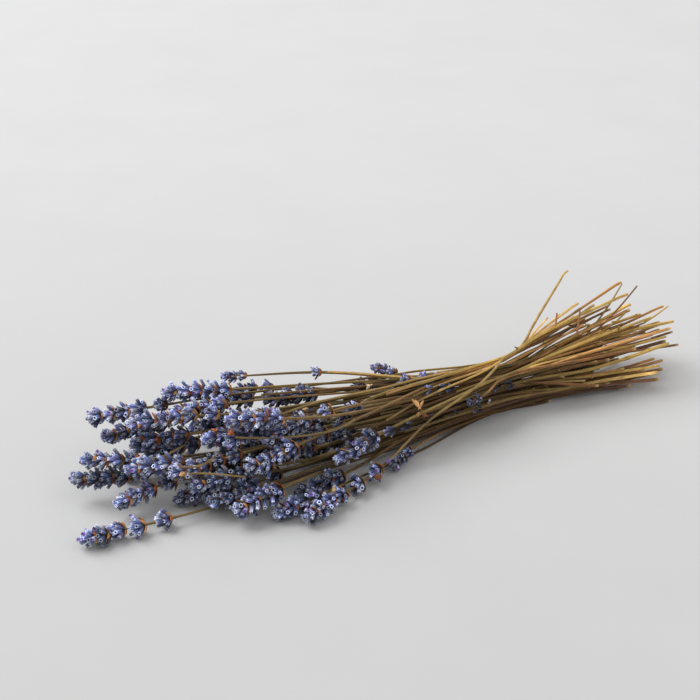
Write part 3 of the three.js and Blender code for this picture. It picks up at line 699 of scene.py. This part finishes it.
class Pile:
    """Vertices, faces, colours and grain of one piece, gathered from many small forms."""

    def __init__(self):
        self.points, self.faces, self.tints, self.grains = [], [], [], []
        self.count = 0

    def add(self, points, faces, tints, grain):
        self.points.append(points)
        self.tints.append(tints)
        self.grains.append(grain + rng.uniform(0, GRAIN_SCATTER, 3))
        self.faces.extend(tuple(v + self.count for v in face) for face in faces)
        self.count += len(points)

    def to_piece(self, name, material, slot, *nodes):
        points = np.concatenate(self.points)
        points[:, 2] = np.maximum(points[:, 2], FLOOR_AIR)
        mesh = bpy.data.meshes.new(name)
        mesh.from_pydata(((points - CENTRE) * MM).tolist(), [], self.faces)
        tints = np.column_stack([np.concatenate(self.tints), np.ones(len(points))])
        for key, kind, field, values in (
            ("tint", "FLOAT_COLOR", "color", tints),
            ("grain", "FLOAT_VECTOR", "vector", np.concatenate(self.grains)),
        ):
            data = mesh.attributes.new(key, kind, "POINT").data
            data.foreach_set(field, values.astype(np.float32).ravel())
        mesh.materials.append(material)
        mesh.update()
        piece = add_object(name, mesh)
        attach(piece, "root")
        if nodes:
            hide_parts(*nodes)


def path_point(i, x):
    """Smooth centre of stalk i at x, through its settled places."""
    s = stalks[i]
    k = min(max(math.floor((x - X_TIPS) / STATION), s.first), s.last - 1)
    at = settled[i]
    slope_here = (at[min(k + 1, s.last)] - at[max(k - 1, s.first)]) / 2
    slope_there = (at[min(k + 2, s.last)] - at[max(k, s.first)]) / 2
    y, z = curve((x - X_TIPS) / STATION - k, at[k], at[k + 1], slope_here, slope_there)
    return np.array([x, y, z])


def heading(i, x):
    """Which way stalk i runs at x, toward its tip."""
    return unit(path_point(i, x - HEADING_RUN) - path_point(i, x + HEADING_RUN))


def frame_along(along):
    """Two ways across a third one, the first of them level."""
    if abs(along[2]) >= STEEP:
        return np.array([1.0, 0, 0]), np.array([0, 1.0, 0])
    side = unit(np.cross([0.0, 0.0, 1.0], along))
    return side, np.cross(along, side)


def outward(side, up, turn):
    """The way out from the middle at a turn round it."""
    return side * math.cos(turn) + up * math.sin(turn)


def smooth_noise(count, step, amount):
    """A slow wave of random heights, one value for each of count places."""
    crests = rng.normal(0, amount, count // step + 3)
    return np.interp(np.arange(count) / step, np.arange(len(crests)), crests)


def tube(centres, radii, sides, hollow, colours, pile, twist=0.0, end_tint=None):
    """A closed rod along centres, every second edge pressed in by hollow, turning slowly by twist."""
    centres = np.asarray(centres)
    count = len(centres)
    along = np.gradient(centres, axis=0)
    along /= np.linalg.norm(along, axis=1)[:, None]
    side = np.cross([0.0, 0.0, 1.0], along)
    side /= np.linalg.norm(side, axis=1)[:, None]
    up = np.cross(along, side)
    is_even = np.arange(sides) % 2 == 0
    turn = np.arange(sides) * ROUND / sides
    angle = turn + np.broadcast_to(twist, count)[:, None]
    reach = radii[:, None] * np.where(is_even, 1.0, hollow)
    points = (
        centres[:, None]
        + (reach * np.cos(angle))[..., None] * side[:, None]
        + (reach * np.sin(angle))[..., None] * up[:, None]
    )
    tints = np.broadcast_to(colours, (count, 3))[:, None] * np.where(is_even, *EDGE_TINTS)[:, None]
    if end_tint is not None:
        tints[-1] = end_tint
    faces = rings_to_faces(count, sides)
    faces.append(tuple(range(sides))[::-1])
    faces.append(tuple((count - 1) * sides + n for n in range(sides)))
    run = np.concatenate([[0], np.linalg.norm(np.diff(centres, axis=0), axis=1).cumsum()]) / GRAIN_RUN
    grain = np.stack(np.broadcast_arrays(np.cos(turn), np.sin(turn), run[:, None]), axis=2)
    pile.add(points.reshape(-1, 3), faces, tints.reshape(-1, 3), grain.reshape(-1, 3))


# Places of all stalks, each casting painted shade on what lies close below it
placed_at = np.nonzero(active)
painted_shade_casters = np.column_stack([station_x[placed_at[1]], settled[placed_at]])
painted_shade_weights = np.where(is_head[placed_at], 1.0, PAINTED_SHADE_BY_STEM)


def painted_shade_factor(point):
    """Factor for painted shade at a place in the bunch: 1 in the open, less under heads and stems that lie
    close over it.
    """
    offset = painted_shade_casters - point
    over = (offset[:, 2] > PAINTED_SHADE_LEAST_RISE) & ((offset * offset).sum(1) < PAINTED_SHADE_REACH ** 2)
    return 1 / (1 + PAINTED_SHADE_STRENGTH * painted_shade_weights[over].sum())


def stem_colour(shades):
    return STEM_COLOURS[rng.integers(len(STEM_COLOURS))] * pick(shades)


def stem_tones(own, centres):
    """A stem's colour along the bunch: greenish by the flowers, dark in the middle, golden at the end, with
    painted shade under what lies over it.
    """
    xs = centres[:, 0]
    green = np.clip((GREEN_X - xs) / GREEN_RUN, 0, GREEN_MOST)[:, None]
    colours = own * (1 - green) + STEM_NEAR_HEAD * pick(GREEN_SHADES) * green
    tone = np.interp(xs, STEM_TONE_X, STEM_TONE) * (1 + smooth_noise(len(xs), *STEM_TINT_WAVE))
    return colours * tone[:, None] * np.array([painted_shade_factor(centre) for centre in centres])[:, None]


def lay_stem(centres, radii, colours, pith_shades, pile):
    """A square, ridged rod that turns slowly, with pith showing at its cut end."""
    twist = rng.uniform(0, math.pi / 2) + smooth_noise(len(centres), *STEM_TWIST_WAVE)
    pith = STEM_PITH * pick(pith_shades)
    tube(centres, radii, STEM_SIDES, STEM_HOLLOW, colours, pile, twist, pith)


def add_stem(i, pile):
    """One stem: uneven, with knots and what is left of side shoots near its cut end."""
    s = stalks[i]
    start = s.tip if s.neck is None else s.neck - STEM_IN_HEAD
    xs = np.linspace(start, s.butt, max(STEM_LEAST_STEPS, int((s.butt - start) / STEM_STEP)))
    centres = np.array([path_point(i, x) for x in xs])
    slender = STEM_SLENDER[0] if i == STRAY else pick(STEM_SLENDER)
    radii = stem_radius(xs) * slender * (1 + smooth_noise(len(xs), *STEM_WAVE))
    own = stem_colour(STEM_SHADES)
    own = STRAY_COLOUR if i == STRAY else own
    colours = stem_tones(own, centres)
    knots = [x for x in [pick(ends) for ends in KNOT_PLACES] if x < s.butt - KNOT_CLEAR]
    for knot in knots:
        near = np.exp(-((xs - knot) / KNOT_LENGTH) ** 2)
        radii = radii * (1 + KNOT_SWELL * near)
        colours = colours * (1 - KNOT_DARK * near)[:, None]
    lay_stem(centres, radii, colours, STEM_PITH_SHADES, pile)
    for knot in knots:
        if rng.random() < STUB_SHARE:
            add_stub(i, knot, own, pile)


def nearest_stalks(i, station):
    """Stalk i and those that lie nearest to it at a station."""
    across = settled[:, station]
    return np.argsort(((across - across[i]) ** 2).sum(1))[:FILLER_NEIGHBOURS]


def add_filler_stem(around, pile):
    """A thinner stem in the gap between a few stalks."""
    start = max(stalks[j].tip if stalks[j].neck is None else stalks[j].neck for j in around)
    start += pick(FILLER_STARTS)
    end = min(stalks[j].butt for j in around) - pick(FILLER_ENDS)
    if end - start < FILLER_LEAST:
        return
    xs = np.linspace(start, end, int((end - start) / STEM_STEP))
    shares = rng.dirichlet(np.full(len(around), FILLER_EVENNESS))
    centres = np.tensordot(shares, [[path_point(j, x) for x in xs] for j in around], axes=1)
    colours = stem_tones(stem_colour(FILLER_SHADES), centres)
    radii = FILLER_R * pick(FILLER_SIZES) * (1 + smooth_noise(len(xs), *FILLER_WAVE))
    lay_stem(centres, radii, colours, FILLER_PITH_SHADES, pile)


def add_stub(i, x, own, pile):
    """What is left of a side shoot, broken off short beside a knot."""
    root = path_point(i, x)
    along = -heading(i, x)
    out = outward(*frame_along(along), pick(STUB_TURNS))
    length = pick(STUB_LENGTHS)
    lean = pick(STUB_LEANS)
    way = unit(-along * math.cos(lean) + out * math.sin(lean))
    centres = [root + way * length * t + out * STUB_BEND * t * t for t in np.linspace(0, 1, STUB_STEPS)]
    radii = np.linspace(*STUB_RADII, STUB_STEPS)
    colour = own * pick(STUB_SHADES)
    tube(centres, radii, THIN_SIDES, STUB_HOLLOW, colour, pile, end_tint=STEM_PITH * STUB_PITH)


def segment_gaps(p, q, starts, ends):
    """Distance from the straight piece p-q to each of many."""
    d1 = q - p
    d2 = ends - starts
    r = p - starts
    a = d1 @ d1
    e = (d2 * d2).sum(1)
    b = d2 @ d1
    c = r @ d1
    f = (d2 * r).sum(1)
    below = a * e - b * b
    s = np.where(below > TINY, np.clip((b * f - c * e) / np.maximum(below, TINY), 0, 1), 0)
    t = np.clip((b * s + f) / e, 0, 1)
    s = np.clip((b * t - c) / a, 0, 1)
    return np.linalg.norm(p + s[:, None] * d1 - starts - t[:, None] * d2, axis=1)


class Obstacles:
    """Rods that a calyx must stay clear of, with their owner and thickness."""

    def __init__(self):
        self.starts, self.ends = np.zeros((2, OBSTACLES_MOST, 3))
        self.r = np.zeros(OBSTACLES_MOST)
        self.owner = np.zeros(OBSTACLES_MOST, int)
        self.count = 0

    def add(self, owner, start, end, r):
        n = self.count
        self.starts[n], self.ends[n], self.r[n], self.owner[n] = start, end, r, owner
        self.count += 1

    def rods(self):
        return self.starts[:self.count], self.ends[:self.count], self.r[:self.count]

    def near(self, centre, reach):
        starts, ends, _ = self.rods()
        half = np.linalg.norm(ends - starts, axis=1) / 2
        return np.flatnonzero(np.linalg.norm((starts + ends) / 2 - centre, axis=1) < half + reach)


obstacles = Obstacles()
for i, s in enumerate(stalks):
    start = s.tip if s.neck is None else s.tip + OBSTACLE_FIRST
    for x in np.arange(start, s.butt, OBSTACLE_STEP)[:-1]:
        obstacles.add(i, path_point(i, x), path_point(i, x + OBSTACLE_STEP), stem_radius(x))


def calyx_form(outer, inner, sunk):
    """Points and faces of a calyx 1 long and 1 in size."""
    turn = np.arange(CALYX_SIDES) * ROUND / CALYX_SIDES
    ridge = np.where(np.arange(CALYX_SIDES) % 2 == 0, 1 + CALYX_RIB, 1 - CALYX_RIB)
    points = []
    for n, (height, r) in enumerate(outer + inner):
        wavy = r * (ridge if n <= RIM_RING else 1.0)
        tooth = CALYX_TOOTH * np.cos(turn * CALYX_TEETH) * (n == RIM_RING)
        points.extend(zip(wavy * np.cos(turn), wavy * np.sin(turn), height + tooth))
    last = len(points) - CALYX_SIDES
    points.append((0.0, 0.0, inner[-1][0] - sunk))
    faces = rings_to_faces(len(outer + inner), CALYX_SIDES)
    faces.append(tuple(range(CALYX_SIDES))[::-1])
    faces += [(last + n, last + (n + 1) % CALYX_SIDES, last + CALYX_SIDES) for n in range(CALYX_SIDES)]
    return np.array(points), faces


CALYX_FORMS = {name: calyx_form(*profile) for name, profile in CALYX_PROFILES.items()}


def add_calyx(root, way, length, scale, pile, bend_way=0.0):
    """One ribbed calyx from root along way, bowed a little toward bend_way."""
    name = rng.choice(list(CALYX_KINDS), p=list(CALYX_KINDS.values()))
    form, faces = CALYX_FORMS[name]
    ring, edge = np.divmod(np.arange(len(form)), CALYX_SIDES)
    across = outward(*frame_along(way), rng.uniform(0, ROUND))
    other = np.cross(way, across)
    size = CALYX_R * scale * pick(CALYX_WIDTHS)
    flat = pick(CALYX_FLATNESS)
    height = form[:, 2:3]
    points = root + way * height * length + across * form[:, 0:1] * size
    points = points + other * form[:, 1:2] * size * flat + bend_way * (height ** 2) * pick(CALYX_BOWS)
    # A random tone, darkened by painted shade under heads and stems that lie over the calyx
    shade = pick(CALYX_SHADES) * painted_shade_factor(root + way * length) ** CALYX_PAINTED_SHADE_POWER
    mix = rng.random()
    body = CALYX_BLUE * (1 - mix) + CALYX_VIOLET * mix
    if rng.random() < CALYX_GREYS:
        body = CALYX_GREY
    body = body * shade
    # Darker toward the foot, partly own tone and partly painted shade deep in the whorl
    rise = np.clip(height, 0, 1)
    above_foot = np.clip(rise * CALYX_FOOT_ENDS, 0, 1)
    tints = CALYX_FOOT_TONE_AND_SHADE * shade * (1 - above_foot) + body * above_foot
    # Painted highlight on the ribs and painted shade in the grooves
    rib_painted_light = np.where(edge % 2 == 0, *CALYX_RIB_HIGHLIGHT_AND_SHADE)[:, None]
    tints = tints * rib_painted_light * (CALYX_RISE_TONE_AND_SHADE[0] + CALYX_RISE_TONE_AND_SHADE[1] * rise)
    # Rim: pale hairs with a painted highlight, scaled by the calyx's tone and painted shade
    tints = np.where(ring[:, None] >= RIM_RING, CALYX_RIM_HIGHLIGHT * (RIM_HIGHLIGHT_TINTS[0] + RIM_HIGHLIGHT_TINTS[1] * shade), tints)
    # Insides: painted shade in an open mouth, a body darkened by painted shade in a shut tip, a petal
    # darkened by painted shade
    inside = (ring > RIM_RING + (name == "open"))[:, None]
    inside_tone_and_shade = {"open": CALYX_MOUTH_SHADE, "shut": body * SHUT_SHADE, "petal": PETAL * shade * PETAL_SHADE}
    tints = np.where(inside, inside_tone_and_shade[name], tints)
    pile.add(points, faces, tints, form * CALYX_GRAIN)


def add_bract(root, along, out, length, scale, colour, pile):
    """One papery bract: a pointed cupped blade with its foot at root."""
    lean = pick(BRACT_LEANS)
    way = unit(along * math.cos(lean) + out * math.sin(lean))
    across = unit(np.cross(way, out))
    back = np.cross(across, way)
    curl = pick(BRACT_CURLS)
    width = scale * pick(BRACT_WIDTHS)
    base, by_length, by_edge = BRACT_TINTS
    points, tints, grain = [], [], []
    for layer in (0, 1):
        for t, half in BRACT_ROWS:
            for place in (-1, 0, 1):
                cup = BRACT_CUP * half * (1 - place * place) + curl * t * t * BRACT_CURL
                rise = back * (cup - layer * BRACT_THICKNESS)
                points.append(root + way * t * length + across * half * place * width + rise)
                tints.append(colour * (base + by_length * t + by_edge * abs(place)))
                grain.append((place, layer, BRACT_GRAIN * t))
    faces = []
    count = len(BRACT_ROWS) * 3
    for a in range(count - 3):
        if a % 3 < 2:
            faces.append((a, a + 1, a + 4, a + 3))
            faces.append((count + a, count + a + 3, count + a + 4, count + a + 1))
    edge = [*range(0, count, 3), count - 2, *range(count - 1, 0, -3), 1]
    for a, b in zip(edge, edge[1:] + edge[:1]):
        faces.append((a, b, count + b, count + a))
    pile.add(np.array(points), faces, np.array(tints), np.array(grain))


def whorl_starts(i, length):
    """How far from a head's tip its whorls start, and the number of close ones."""
    pitch = WHORL_PITCH * size_of[i]
    first = TIP_BARE * size_of[i]
    plain = [math.floor((length - first - NECK_BARE) / pitch) + 1]
    if i >= len(SEEN) + len(FAR):
        plain = [math.floor((length - first - FILL_BARE) / pitch) + 1, length - FILL_LAST_WHORL]
    close, *apart = HEAD_WHORLS.get(i, plain)
    return [first + w * pitch for w in range(close)] + apart, close


def add_whorl(i, x, is_first, rows, calyces, bracts):
    """One whorl of calyces with its bracts, at x on head i."""
    scale = size_of[i]
    centre = path_point(i, x)
    along = heading(i, x)
    side, up = frame_along(along)
    spin = rng.uniform(0, ROUND)
    near = obstacles.near(centre, NEAR_REACH)
    first = obstacles.count
    small = scale * (FIRST_WHORL_SIZE if is_first else pick(WHORL_SIZES))
    whorl_lean = scatter(WHORL_LEAN)
    for _, count, lean, foot in rows:
        for n in range(count):
            if rng.random() < MISSING:
                continue
            turn = spin + (n + scatter(CALYX_SPREAD)) * ROUND / count
            own_lean = lean + whorl_lean + scatter(CALYX_LEAN)
            size = CALYX_LENGTH * small * pick(CALYX_SIZES)
            keep = np.concatenate([near, np.arange(first, obstacles.count)])
            root = centre + along * (foot + scatter(CALYX_SHIFT)) * scale
            placed = place_calyx(i, root, along, side, up, turn, own_lean, size, keep)
            if placed is not None:
                root, way, reach = placed
                obstacles.add(i, root + way * reach * ROD_FROM, root + way * reach, CALYX_R * scale)
                add_calyx(root, way, reach, scale, calyces, along)
    # Bracts take painted shade under heads and stems that lie over the whorl
    light = painted_shade_factor(centre)
    for n in range(BRACTS):
        turn = spin + n * ROUND / BRACTS + scatter(BRACT_SPREAD)
        out = outward(side, up, turn)
        colour = BRACT_COLOURS[rng.integers(len(BRACT_COLOURS))] * pick(BRACT_SHADES) * light
        foot = centre + (out * BRACT_ROOT[0] - along * BRACT_ROOT[1]) * scale
        length = BRACT_LENGTH * scale * pick(BRACT_LENGTHS)
        add_bract(foot, along, out, length, scale, colour, bracts)


def add_head(i):
    """One flower head: rachis, whorls and the calyces at its tip."""
    s = stalks[i]
    scale = size_of[i]
    calyces, bracts = Pile(), Pile()
    length = np.linalg.norm(path_point(i, s.tip) - path_point(i, s.neck))
    starts, close = whorl_starts(i, length)
    xs = np.linspace(s.neck + RACHIS_ENDS[0], s.tip + RACHIS_ENDS[1] * scale, RACHIS_STEPS)
    centres = [path_point(i, x) for x in xs]
    radii = np.linspace(*RACHIS_RADII, RACHIS_STEPS)
    green = STEM_NEAR_HEAD * pick(RACHIS_SHADES)
    tube(centres, radii, THIN_SIDES, RACHIS_HOLLOW, green, bracts)
    for w, start in enumerate(starts):
        start += scatter(WHORL_SHIFT)
        x = s.tip + (s.neck - s.tip) * start / length
        rows = [row for row in WHORL_ROWS if row[0] != "between" or w < close - 1]
        add_whorl(i, x, w == 0, rows, calyces, bracts)
    top = s.tip + (s.neck - s.tip) * (TIP_BARE - TIP_BELOW) * scale / length
    along = heading(i, top)
    side, up = frame_along(along)
    for n in range(TIP_CALYCES):
        turn = n * ROUND / TIP_CALYCES + scatter(TIP_SPREAD)
        way = unit(along + TIP_LEAN * outward(side, up, turn))
        size = CALYX_LENGTH * scale * pick(TIP_SIZES)
        add_calyx(path_point(i, top) - along * scale, way, size, scale, calyces)
    node = f"head_{i + 1:02d}"
    calyces.to_piece(f"calyces_{i + 1:02d}", calyx_material, "calyx", node)
    bracts.to_piece(f"bracts_{i + 1:02d}", bract_material, "stem", node)


def place_calyx(owner, foot, along, side, up, turn, lean, size, keep):
    """The nearest free way for a calyx to point, or None where there is no room for it."""
    starts, ends = obstacles.starts[keep], obstacles.ends[keep]
    mine = obstacles.owner[keep] == owner
    own_r = CALYX_R * size_of[owner]
    least_gap = np.where(mine, OWN_GAP * size_of[owner], obstacles.r[keep] + own_r * OTHER_GAP)
    stem_of_mine = mine & (obstacles.r[keep] != own_r)
    for short in SHORTENINGS:
        for swing, tilt in TURNS:
            tip_lean = math.radians(min(max(lean + tilt, LEAN_LIMITS[0]), LEAN_LIMITS[1]))
            out = outward(side, up, turn + math.radians(swing))
            way = unit(along * math.cos(tip_lean) + out * math.sin(tip_lean))
            root = foot + out * ROOT_R
            reach = size * short
            mouth = root + way * reach
            if mouth[2] - own_r * math.sqrt(max(0, 1 - way[2] ** 2)) < MOUTH_AIR:
                continue
            gaps = segment_gaps(root + way * reach * TRIED_FROM, mouth, starts, ends)
            if np.all((gaps >= least_gap) | stem_of_mine):
                return root, way, reach
    return None


def sight(pixel):
    """Direction of the sight line through a pixel of the photograph."""
    across = (np.array(pixel) / VIEW_PIXELS - 0.5) * VIEW_SENSOR / VIEW_LENS
    return unit(VIEW_RIGHT * across[0] - VIEW_UP * across[1] - VIEW_BACK)


def depth_at(pixel):
    """How far from the eye the sight line through a pixel first meets a stem or a calyx."""
    way = sight(pixel)
    starts, ends, r = obstacles.rods()
    met = segment_gaps(EYE, EYE + way * 2 * VIEW_DISTANCE, starts, ends) < r + SIGHT_R
    return (((starts + ends) / 2 - EYE) @ way - r)[met].min()


def add_crossing(pixels, pile):
    """A thin curved stalk that lies over the flowers along the given pixels."""
    depths = [depth_at(pixel) for pixel in pixels]
    places = np.arange(len(pixels))
    fine = np.linspace(0, places[-1], CROSSING_STEPS * len(pixels))
    bow = np.polyval(np.polyfit(places, depths, 2), fine) - CROSSING_LIFT_R * CROSSING_R
    route = np.array([np.polyval(np.polyfit(places, along, 3), fine) for along in zip(*pixels)])
    centres = np.array([EYE + sight(pixel) * depth for pixel, depth in zip(route.T, bow)])
    shade = pick(CROSSING_SHADES)
    colours = STEM_NEAR_HEAD * shade * (1 + smooth_noise(len(fine), *CROSSING_WAVE))[:, None]
    tube(centres, np.full(len(fine), CROSSING_R), STEM_SIDES, STEM_HOLLOW, colours, pile)


def add_shoot(foot, end, back, pile):
    """A bent shoot that stands up between two pixels, with its foot on a stem."""
    depth = depth_at(foot)
    root = EYE + sight(foot) * (depth + SHOOT_SUNK)
    tip = EYE + sight(end) * (depth + SHOOT_SUNK + back)
    steps = np.linspace(0, 1, SHOOT_STEPS)[:, None]
    sag = rng.uniform(0, SHOOT_BEND) * np.sin(steps * math.pi)
    centres = root + (tip - root) * steps - VIEW_UP * sag
    own = SHOOT_COLOUR if back < SHOOT_UPRIGHT else STEM_COLOURS[rng.integers(len(STEM_COLOURS))]
    own = own * pick(SHOOT_SHADES)
    tube(centres, np.linspace(*SHOOT_RADII, SHOOT_STEPS), THIN_SIDES, SHOOT_HOLLOW, own, pile)


def add_bud(middle, size, colour, pile):
    """A round dried bud, a little longer than wide."""
    ring_at = np.linspace(0, math.pi, BUD_RINGS)
    centres = middle + VIEW_RIGHT * (-np.cos(ring_at) * size / 2)[:, None]
    radii = BUD_R_END + np.sin(ring_at) * size * BUD_R
    colours = colour * (BUD_SHADES[0] + BUD_SHADES[1] * rng.random(BUD_RINGS))[:, None]
    tube(centres, radii, STEM_SIDES, BUD_HOLLOW, colours, pile)


def add_scrap(pixel, form, size, colour, pile):
    """A dry scrap caught in the bunch where the photograph shows one."""
    middle = EYE + sight(pixel) * (depth_at(pixel) - SCRAP_OUT * size)
    if form == "bud":
        add_bud(middle, size, colour, pile)
        return
    for _ in range(SCRAP_BLADES[form]):
        along = VIEW_RIGHT * rng.normal() + VIEW_UP * rng.normal() * SCRAP_RISE
        along = unit(along + VIEW_BACK * SCRAP_TOWARD_EYE)
        foot = middle - along * size * pick(SCRAP_FEET)
        length = size * pick(SCRAP_LENGTHS)
        add_bract(foot, along, VIEW_BACK, length, SCRAP_WIDTH, colour * pick(SCRAP_SHADES), pile)


def add_caught(pixel, number, pile):
    """A few calyces caught between the stems."""
    middle = EYE + sight(pixel) * (depth_at(pixel) + CAUGHT_SUNK)
    along = unit(-VIEW_RIGHT + VIEW_UP * pick(CAUGHT_RISES))
    side, up = frame_along(along)
    for n in range(number):
        out = outward(side, up, n * ROUND / number)
        way = unit(along + out * pick(CAUGHT_LEANS))
        root = middle + out * ROOT_R - along * rng.uniform(0, CAUGHT_RUN)
        add_calyx(root, way, CALYX_LENGTH * CAUGHT_SIZE, CAUGHT_SIZE, pile)


# Materials, each by its name, roughness, sheen and sheen colour, scale of grain, of streaks, and bump
DRY_MATERIALS = (
    ("dried calyx", 0.6, 0.24, (200, 212, 242), 1600.0, 2.0, 0.5),
    ("papery bract", 0.7, 0.1, (240, 210, 170), 900.0, 2.0, 0.5),
    ("dried stem", 0.6, 0.08, (230, 215, 180), 700.0, 1.6, 0.6),
)
DRY_SHEEN_ROUGHNESS = 0.5
DRY_SPECULAR = 0.35
DRY_RELIEF = 0.0002
FINE_RANGE = (0.66, 1.34)
STREAK_RANGE = (0.3, 1.7)

# Surface and light
FLOOR_TONES = (188, 195)
FLOOR_MOTTLE = {"Scale": 9.0, "Detail": 6.0, "Roughness": 0.6}
# Painted light: the surface is tinted a little lighter toward the back
FLOOR_PAINTED_LIGHT_FADE = {"From Min": -0.3, "From Max": 0.4, "To Min": 0.92, "To Max": 1.05}
FLOOR_FINISH = {"Roughness": 0.9, "Specular IOR Level": 0.1}
FLOOR_HALF = 6.0
LIGHTS = (
    ("window", (-2.85, 4.35, 4.95), 5.4, 566),
    ("fill", (1.8, -2.2, 2.4), 3.2, 16),
)
WORLD_STRENGTH = 0.65


def new_material(name):
    """An empty material, and a short hand for adding its nodes."""
    material = bpy.data.materials.new(name)
    material.use_nodes = True
    tree = material.node_tree
    tree.nodes.clear()

    def add(kind, outlet, *first_inputs, **values):
        """Adds a node and returns its outlet. A value that is an outlet is wired, any other is set."""
        node = tree.nodes.new("ShaderNode" + kind)
        for key, value in [*enumerate(first_inputs), *values.items()]:
            if isinstance(value, bpy.types.NodeSocket):
                tree.links.new(value, node.inputs[key])
            elif isinstance(key, int) or key in node.inputs:
                node.inputs[key].default_value = value
            else:
                setattr(node, key, value)
        return node.outputs.get(outlet)

    return material, add


def dry_plant_material(name, roughness, sheen, sheen_colour, grain, streaks, bump):
    """The vertex tint, which holds the colour with its painted shade and highlights, broken up by fine
    grain and streaks along the fibres, with a rough dry surface.
    """
    material, add = new_material(name)
    tint = add("Attribute", "Color", attribute_name="tint")
    fibre = add("Attribute", "Vector", attribute_name="grain")
    fine = add("TexNoise", "Fac", add("TexCoord", "Object"), Scale=grain, Detail=4.0, Roughness=0.6)
    streak = add("TexNoise", "Fac", fibre, Scale=streaks, Detail=3.0)
    spreads = [
        add("MapRange", "Result", noise, **{"To Min": low, "To Max": high})
        for noise, (low, high) in ((fine, FINE_RANGE), (streak, STREAK_RANGE))
    ]
    both = add("Math", "Value", *spreads, operation="MULTIPLY")
    colour = add("VectorMath", "Vector", tint, operation="SCALE", Scale=both)
    relief = add("Bump", "Normal", Strength=bump, Distance=DRY_RELIEF, Height=fine)
    shader = add("BsdfPrincipled", "BSDF", colour, Normal=relief, Roughness=roughness, **{
        "Sheen Weight": sheen,
        "Sheen Tint": (*linear(*sheen_colour), 1),
        "Sheen Roughness": DRY_SHEEN_ROUGHNESS,
        "Specular IOR Level": DRY_SPECULAR,
    })
    add("OutputMaterial", "", shader)
    return material


calyx_material, bract_material, stem_material = (dry_plant_material(*row) for row in DRY_MATERIALS)

clump_piles = [Pile() for _ in range(CLUMPS)]
for i in range(COUNT):
    add_stem(i, clump_piles[clump_of[i]])
for station in FILLER_STATIONS:
    for i in rng.permutation(COUNT)[:FILLER_STEMS]:
        add_filler_stem(nearest_stalks(i, station), clump_piles[clump_of[i]])
for pair in BRIDGES:
    add_filler_stem(pair, clump_piles[clump_of[pair[0]]])
for i, s in enumerate(stalks):
    if s.neck is not None:
        add_head(i)
for pixels in CROSSINGS:
    add_crossing(pixels, clump_piles[0])
for foot, end, back in SHOOTS:
    add_shoot(foot, end, back, clump_piles[-1])
for pixel, form, size, colour in SCRAPS:
    add_scrap(pixel, form, size, linear(*colour), clump_piles[0])
caught = Pile()
for pixel, number in CAUGHT:
    add_caught(pixel, number, caught)
caught.to_piece("caught_calyces", calyx_material, "calyx")
for clump, pile in enumerate(clump_piles):
    pile.to_piece(f"stem_clump_{clump + 1:02d}", stem_material, "stem", f"stems_{clump + 1:02d}")


def make_floor():
    """A plain pale surface with the faintest mottle, and painted light that makes it a little lighter
    toward the back.
    """
    material, add = new_material("pale surface")
    place = add("TexCoord", "Object")
    mottle = add("TexNoise", "Fac", place, **FLOOR_MOTTLE)
    tone = add("ValToRGB", "Color", mottle)
    for stop, grey in zip(tone.node.color_ramp.elements, FLOOR_TONES):
        stop.color = (*linear(grey, grey, grey), 1)
    depth = add("VectorMath", "Value", place, -VIEW_BACK, operation="DOT_PRODUCT")
    painted_light_fade = add("MapRange", "Result", depth, **FLOOR_PAINTED_LIGHT_FADE)
    colour = add("VectorMath", "Vector", tone, operation="SCALE", Scale=painted_light_fade)
    add("OutputMaterial", "", add("BsdfPrincipled", "BSDF", colour, **FLOOR_FINISH))
    mesh = bpy.data.meshes.new("floor")
    corners = [(x * FLOOR_HALF, y * FLOOR_HALF, 0) for x, y in ((-1, -1), (1, -1), (1, 1), (-1, 1))]
    mesh.from_pydata(corners, [], [(0, 1, 2, 3)])
    mesh.materials.append(material)
    floor = add_object("floor", mesh)


def make_light(name, place, size, power):
    """A square light that faces the origin."""
    x, y, z = place
    data = bpy.data.lights.new(name, "AREA")
    data.shape = "SQUARE"
    data.size = size
    data.energy = power
    light = add_object(name, data)
    light.location = place
    light.rotation_euler = (math.atan2(math.hypot(x, y), z), 0, math.atan2(-y, -x) - math.pi / 2)


make_floor()
for light in LIGHTS:
    make_light(*light)
world = bpy.data.worlds.new("studio")
world.use_nodes = True
background = world.node_tree.nodes["Background"]
background.inputs["Color"].default_value = (1.0, 1.0, 1.0, 1)
background.inputs["Strength"].default_value = WORLD_STRENGTH
bpy.context.scene.world = world
bpy.context.scene.view_settings.view_transform = "Standard"
